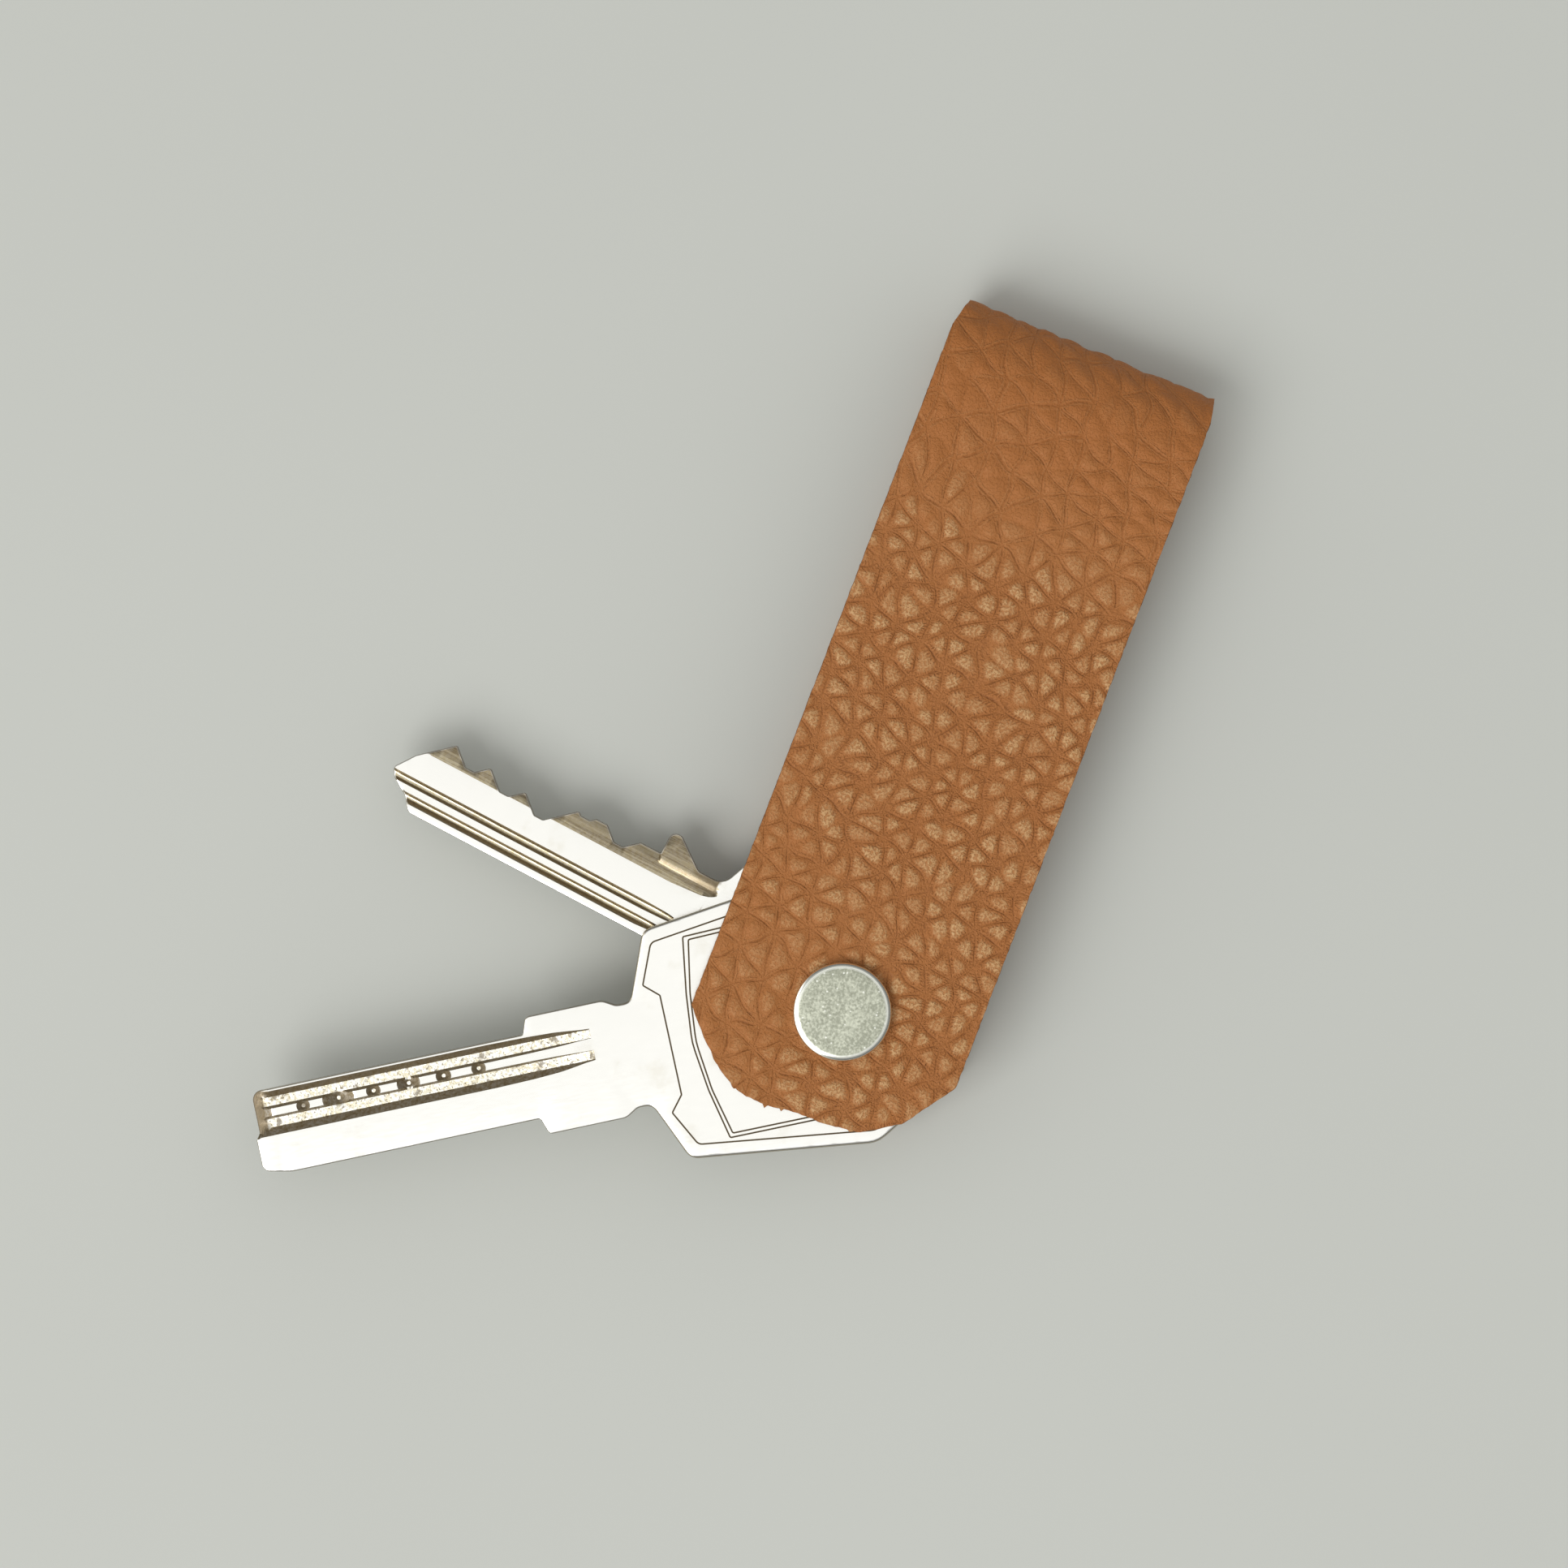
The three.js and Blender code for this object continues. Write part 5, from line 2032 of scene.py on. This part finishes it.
    def land(self, root: Point, way: int) -> Triple:
        """Gives the corner where the flank after a root (1) or before it (-1) meets the uncut edge."""
        return root[0] + way * (root[1] - self.uncut) / self.flank, self.uncut, self.land_round

    def outline(self) -> Array:
        """Gives the key's outline: nose, spine, bow, shoulder and cuts."""
        front, half = self.stop - self.bow_front, self.bow_half
        side = front - self.bow_side
        corners = [(self.tip() + x, self.spine + y, radius) for x, y, radius in self.nose_corners]
        corners.append((front, self.spine, self.neck_round))
        for x, y in ((side, half), (self.bow_back, half), (self.bow_back, -half), (side, -half)):
            corners.append((x, y, self.bow_round))
        corners.append((front, -self.neck, self.neck_round))
        drop = self.uncut - self.hump_drop
        hump = ((self.stop - self.hump, -self.neck), (self.stop, drop), (self.stop, self.uncut))
        corners += [(x, y, radius) for (x, y), radius in zip(hump, self.hump_rounds)]
        return rounded(corners + self.cuts())

    def top(self) -> Relief:
        """Gives the grooves, the thinned edge and the shoulder's slanted face."""
        relief = Relief()
        for groove in (self.upper, self.middle, self.lower):
            relief.mill(groove, self.tip() + 1)
        relief.cuts += [self.facet, self.thinned]
        # Painted shade darkens the milled slope of the thinned edge.
        relief.soiled.append(lambda x, y: self.grime_and_shade(x, y) * (relief.milled(x, y) > self.soil_depth))
        relief.crease(*self.facet_line)
        return relief

    def facet(self, x: Array, y: Array) -> Array:
        """Gives the depth of the shoulder's slanted face."""
        line = np.interp(x, *np.array(self.facet_line).T)
        here = (x > self.facet_from) & (x < self.stop + self.facet_past)
        depth = np.clip(self.facet_depth + self.facet_slope * (line - y), 0, self.facet_most)
        return np.where(here, depth * (y < line), 0)

    def thinned(self, x: Array, y: Array) -> Array:
        """Gives the depth of the slope that thins the cut edge of the blade."""
        here = (x > self.stop) & (y < self.thin_from)
        return np.where(here, self.thin_depth + self.thin_slope * (self.thin_from - y), 0)

    def grime_and_shade(self, x: Array, y: Array) -> Array:
        """Gives painted shade on the thinned edge, darkest where the cutter ran out at the shoulder."""
        here = (x > self.soil_from[0]) & (y < self.soil_from[1])
        return np.where(here, self.soil_least + self.soil_more * ease(*self.soil_run, x), 0)

    def bottom(self) -> Relief:
        """Gives the two grooves of the lower face."""
        relief = Relief()
        for low, high in self.under_grooves:
            edges = (low, low + self.under_wall, high - self.under_wall, high)
            profile = tuple(zip(edges, (0, self.under_depth, self.under_depth, 0)))
            relief.mill(Groove(profile, self.under_sink), self.tip() + 1)
        return relief


@dataclass
class BindingPost:
    """The post: a round head with a rolled rim on a threaded barrel."""

    name: str = "binding_post_dressed"
    head: float = 5.0
    head_base: float = 10.45
    head_top: float = 11.55
    rim: float = 0.75
    drop: float = 0.5
    crown: float = 0.03
    curve_points: int = 9
    skirt: float = 0.1
    bevel: float = 0.12
    barrel: float = 2.5
    barrel_end: float = 1.5
    end_bevel: float = 0.15
    bore: float = 1.78
    thread: float = 2.1
    pitch: float = 0.7
    thread_steps: int = 8
    thread_form: Point = (0.38, 0.12)
    thread_end: float = 7.1
    run_out: float = 0.1
    bore_end: float = 7.6
    drill_point: float = 0.4
    sides: int = 96
    sharp: float = 40.0

    def profile(self) -> list[tuple[float, float, bool]]:
        """Gives the section from the middle of the head round to the end of the bore.

        Returns:
            Radius, height and whether the thread is cut there.
        """
        flat = self.head - self.rim
        low = self.head_top - self.crown
        shares = np.linspace(0, 1, self.curve_points)
        turn = np.linspace(0, math.pi / 2, self.curve_points)[1:]
        plain = [(flat * share, self.head_top - self.crown * share**2) for share in shares]
        plain += [(flat + self.rim * math.sin(a), low - self.drop * (1 - math.cos(a))) for a in turn]
        plain += [
            (self.head, self.head_base + self.bevel),
            (self.head - self.skirt, self.head_base),
            (self.barrel + self.bevel, self.head_base),
            (self.barrel, self.head_base - self.bevel),
            (self.barrel, self.barrel_end + self.end_bevel),
            (self.barrel - self.bevel, self.barrel_end),
        ]
        rows = np.arange(self.barrel_end, self.thread_end, self.pitch / self.thread_steps)
        tail = [
            (self.bore, self.thread_end + self.run_out),
            (self.bore, self.bore_end),
            (0, self.bore_end + self.drill_point),
        ]
        cut = [(self.bore, float(row), True) for row in rows]
        return [(*point, False) for point in plain] + cut + [(*point, False) for point in tail]

    def build(self, post: Vector) -> bpy.types.Object:
        """Makes the post's mesh.

        Args:
            post: The post's axis in the row frame, in metres.

        Returns:
            The post.
        """
        turn = np.linspace(0, 2 * math.pi, self.sides, endpoint=False)
        section = self.profile()
        points = [np.array([[0, 0, section[0][1]]])]
        for radius, height, threaded in section[1:-1]:
            reach = np.full(self.sides, radius)
            if threaded:
                phase = (height / self.pitch - turn / (2 * math.pi)) % 1
                depth = ease(*self.thread_form, np.minimum(phase, 1 - phase))
                reach = reach + (self.thread - self.bore) * depth
            level = np.full(self.sides, height)
            points.append(np.column_stack([reach * np.cos(turn), reach * np.sin(turn), level]))
        points.append(np.array([[0, 0, section[-1][1]]]))
        rings = [1 + ring * self.sides + np.arange(self.sides) for ring in range(len(section) - 2)]
        last = 1 + len(rings) * self.sides
        faces: list[Face] = [face for a, b in zip(rings, rings[1:]) for face in strip(a, b)]
        faces += [(0, a, b) for a, b in zip(rings[0], np.roll(rings[0], -1))]
        faces += [(last, b, a) for a, b in zip(rings[-1], np.roll(rings[-1], -1))]
        corners = np.vstack(points) + np.array([post.x, post.y, 0]) / MM
        stud = mesh_piece(self.name, corners, [tuple(map(int, face)) for face in faces], self.sharp)
        self.dress(stud)
        return stud

    def dress(self, stud: bpy.types.Object) -> None:
        """Gives the post its satin finish."""
        stud.data.materials.append(StudFinish("satin_nickel").material())


@dataclass
class BindingScrew:
    """The screw that closes the post from below, as it is packed."""

    name: str = "binding_screw"

    def dress(self, frame: dict) -> None:
        """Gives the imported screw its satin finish."""
        screw = frame["nodes"][self.name]
        screw.data.materials.clear()
        screw.data.materials.append(StudFinish("satin_nickel_screw").material())


@dataclass
class Studio:
    """Floor, light and camera of the photograph's view."""

    photo_turn: float = 69.0
    aim: Point = (19.44, 13.79)
    frame_width: float = 159.0
    distance: float = 600.0
    focus_height: float = 10.3
    sensor: float = 36.0
    near: float = 0.01
    lamp_bearing: float = 156.0
    lamp_height: float = 48.0
    lamp_distance: float = 1.6
    lamp_size: float = 1.05
    lamp_power: float = 14.2
    sky: float = 0.6
    sky_colour: Colour = (1, 1, 0.985, 1)
    backdrop: Colour = screen(214, 216, 211)
    ceiling: tuple[Point, ...] = ((0.0, 0.16), (0.35, 0.2), (0.7, 0.5), (0.82, 1.0), (1.0, 1.0))
    ceiling_blue: float = 0.97
    window: float = 0.9
    window_bearing: float = 126.0
    window_span: Point = (0.3, 0.75)
    floor_size: float = 6.0
    floor_drop: float = 0.05

    def camera(self, post: Vector) -> None:
        """Sets the camera straight above, turned as the photograph is."""
        data = bpy.data.cameras.new("photo_view")
        data.sensor_width = self.sensor
        data.lens = self.sensor * self.distance / self.frame_width
        data.clip_start = self.near
        eye = bpy.data.objects.new("photo_view", data)
        eye.location = (
            post.x + self.aim[0] * MM,
            post.y + self.aim[1] * MM,
            (self.focus_height + self.distance) * MM,
        )
        eye.rotation_euler = (0, 0, math.radians(-self.photo_turn))
        bpy.context.scene.collection.objects.link(eye)
        bpy.context.scene.camera = eye

    def floor(self) -> None:
        """Lays the pale floor."""
        half = self.floor_size / 2
        corners = [(-half, -half, 0), (half, -half, 0), (half, half, 0), (-half, half, 0)]
        mesh = bpy.data.meshes.new("pale_floor")
        mesh.from_pydata(corners, [], [(0, 1, 2, 3)])
        floor = bpy.data.objects.new("pale_floor", mesh)
        mesh.materials.append(FloorFinish().material())
        floor.location.z = -self.floor_drop * MM
        bpy.context.scene.collection.objects.link(floor)

    def lamp(self) -> None:
        """Hangs the soft main lamp at the photograph's lower left."""
        data = bpy.data.lights.new("soft_lamp", "AREA")
        data.shape = "SQUARE"
        data.size = self.lamp_size
        data.energy = self.lamp_power
        lamp = bpy.data.objects.new("soft_lamp", data)
        bearing, rise = math.radians(self.lamp_bearing), math.radians(self.lamp_height)
        level = math.cos(rise)
        way = Vector((level * math.cos(bearing), level * math.sin(bearing), math.sin(rise)))
        lamp.location = self.lamp_distance * way
        lamp.rotation_euler = (-way).to_track_quat("-Z", "Y").to_euler()
        bpy.context.scene.collection.objects.link(lamp)

    def surroundings(self) -> None:
        """Fills the room with even light, and gives metal a white ceiling over darker walls."""
        world = bpy.data.worlds.new("studio_room")
        world.use_nodes = True
        nodes = Nodes(world.node_tree)
        nodes.tree.nodes.clear()
        ways = nodes.node("ShaderNodeLightPath", {}).outputs
        place = nodes.out("ShaderNodeTexCoord", {}, "Generated")
        bearing = math.radians(self.window_bearing)
        toward = nodes.along(place, (math.cos(bearing), math.sin(bearing), 0))
        span = {"Value": toward, "From Min": self.window_span[0], "From Max": self.window_span[1]}
        window = nodes.out("ShaderNodeMapRange", span, "Result")
        ceiling = nodes.node("ShaderNodeValToRGB", {"Fac": nodes.upright(place).most(window)})
        stops = ceiling.color_ramp.elements
        while len(stops) < len(self.ceiling):
            stops.new(0.5)
        for stop, (position, level) in zip(stops, self.ceiling):
            stop.position = position
            stop.color = (level, level, self.ceiling_blue * level, 1)
        glow = window * self.window + 1.0
        lights = ((self.sky_colour, self.sky), (self.backdrop, 1.0), (ceiling.outputs["Color"], glow))
        light, backdrop, room = (
            nodes.out("ShaderNodeBackground", {"Color": colour, "Strength": strength}, 0)
            for colour, strength in lights
        )
        seen = {"Is Camera Ray": backdrop, "Is Glossy Ray": room, "Is Transmission Ray": room}
        for way, other in seen.items():
            light = nodes.out("ShaderNodeMixShader", {0: ways[way], 1: light, 2: other}, 0)
        nodes.node("ShaderNodeOutputWorld", {"Surface": light})
        bpy.context.scene.world = world

    def build(self, post: Vector) -> None:
        """Makes the whole studio about the post."""
        self.camera(post)
        self.floor()
        self.lamp()
        self.surroundings()
        bpy.context.scene.view_settings.view_transform = "Standard"


def main() -> None:
    """Builds every piece of the keychain and the studio round it."""
    logging.basicConfig(level=logging.INFO, format="%(name)s: %(message)s")
    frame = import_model()
    low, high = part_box("binding_post")
    post = (low + high) / 2
    Studio().build(post)
    LOG.info("studio ready")
    strap = LeatherStrap()
    leather = strap.build(post)
    join_frame(leather, "leather_strap", Body.STRAP)
    LOG.info("%s: %d faces", leather.name, len(leather.data.polygons))
    metal = (
        (BindingPost(), "binding_post", Body.POST, Slot.NICKEL),
        (DimpleKey(), "dimple_key", Body.UPPER_KEY, Slot.KEY_METAL),
        (CutKey(), "cut_key", Body.LOWER_KEY, Slot.KEY_METAL),
    )
    for part, node, body, slot in metal:
        piece = part.build(post)
        join_frame(piece, node, body)
        LOG.info("%s: %d faces", piece.name, len(piece.data.polygons))
    BindingScrew().dress(frame)
    LOG.info("binding_screw: packed solid dressed")


if __name__ == "__main__":
    main()
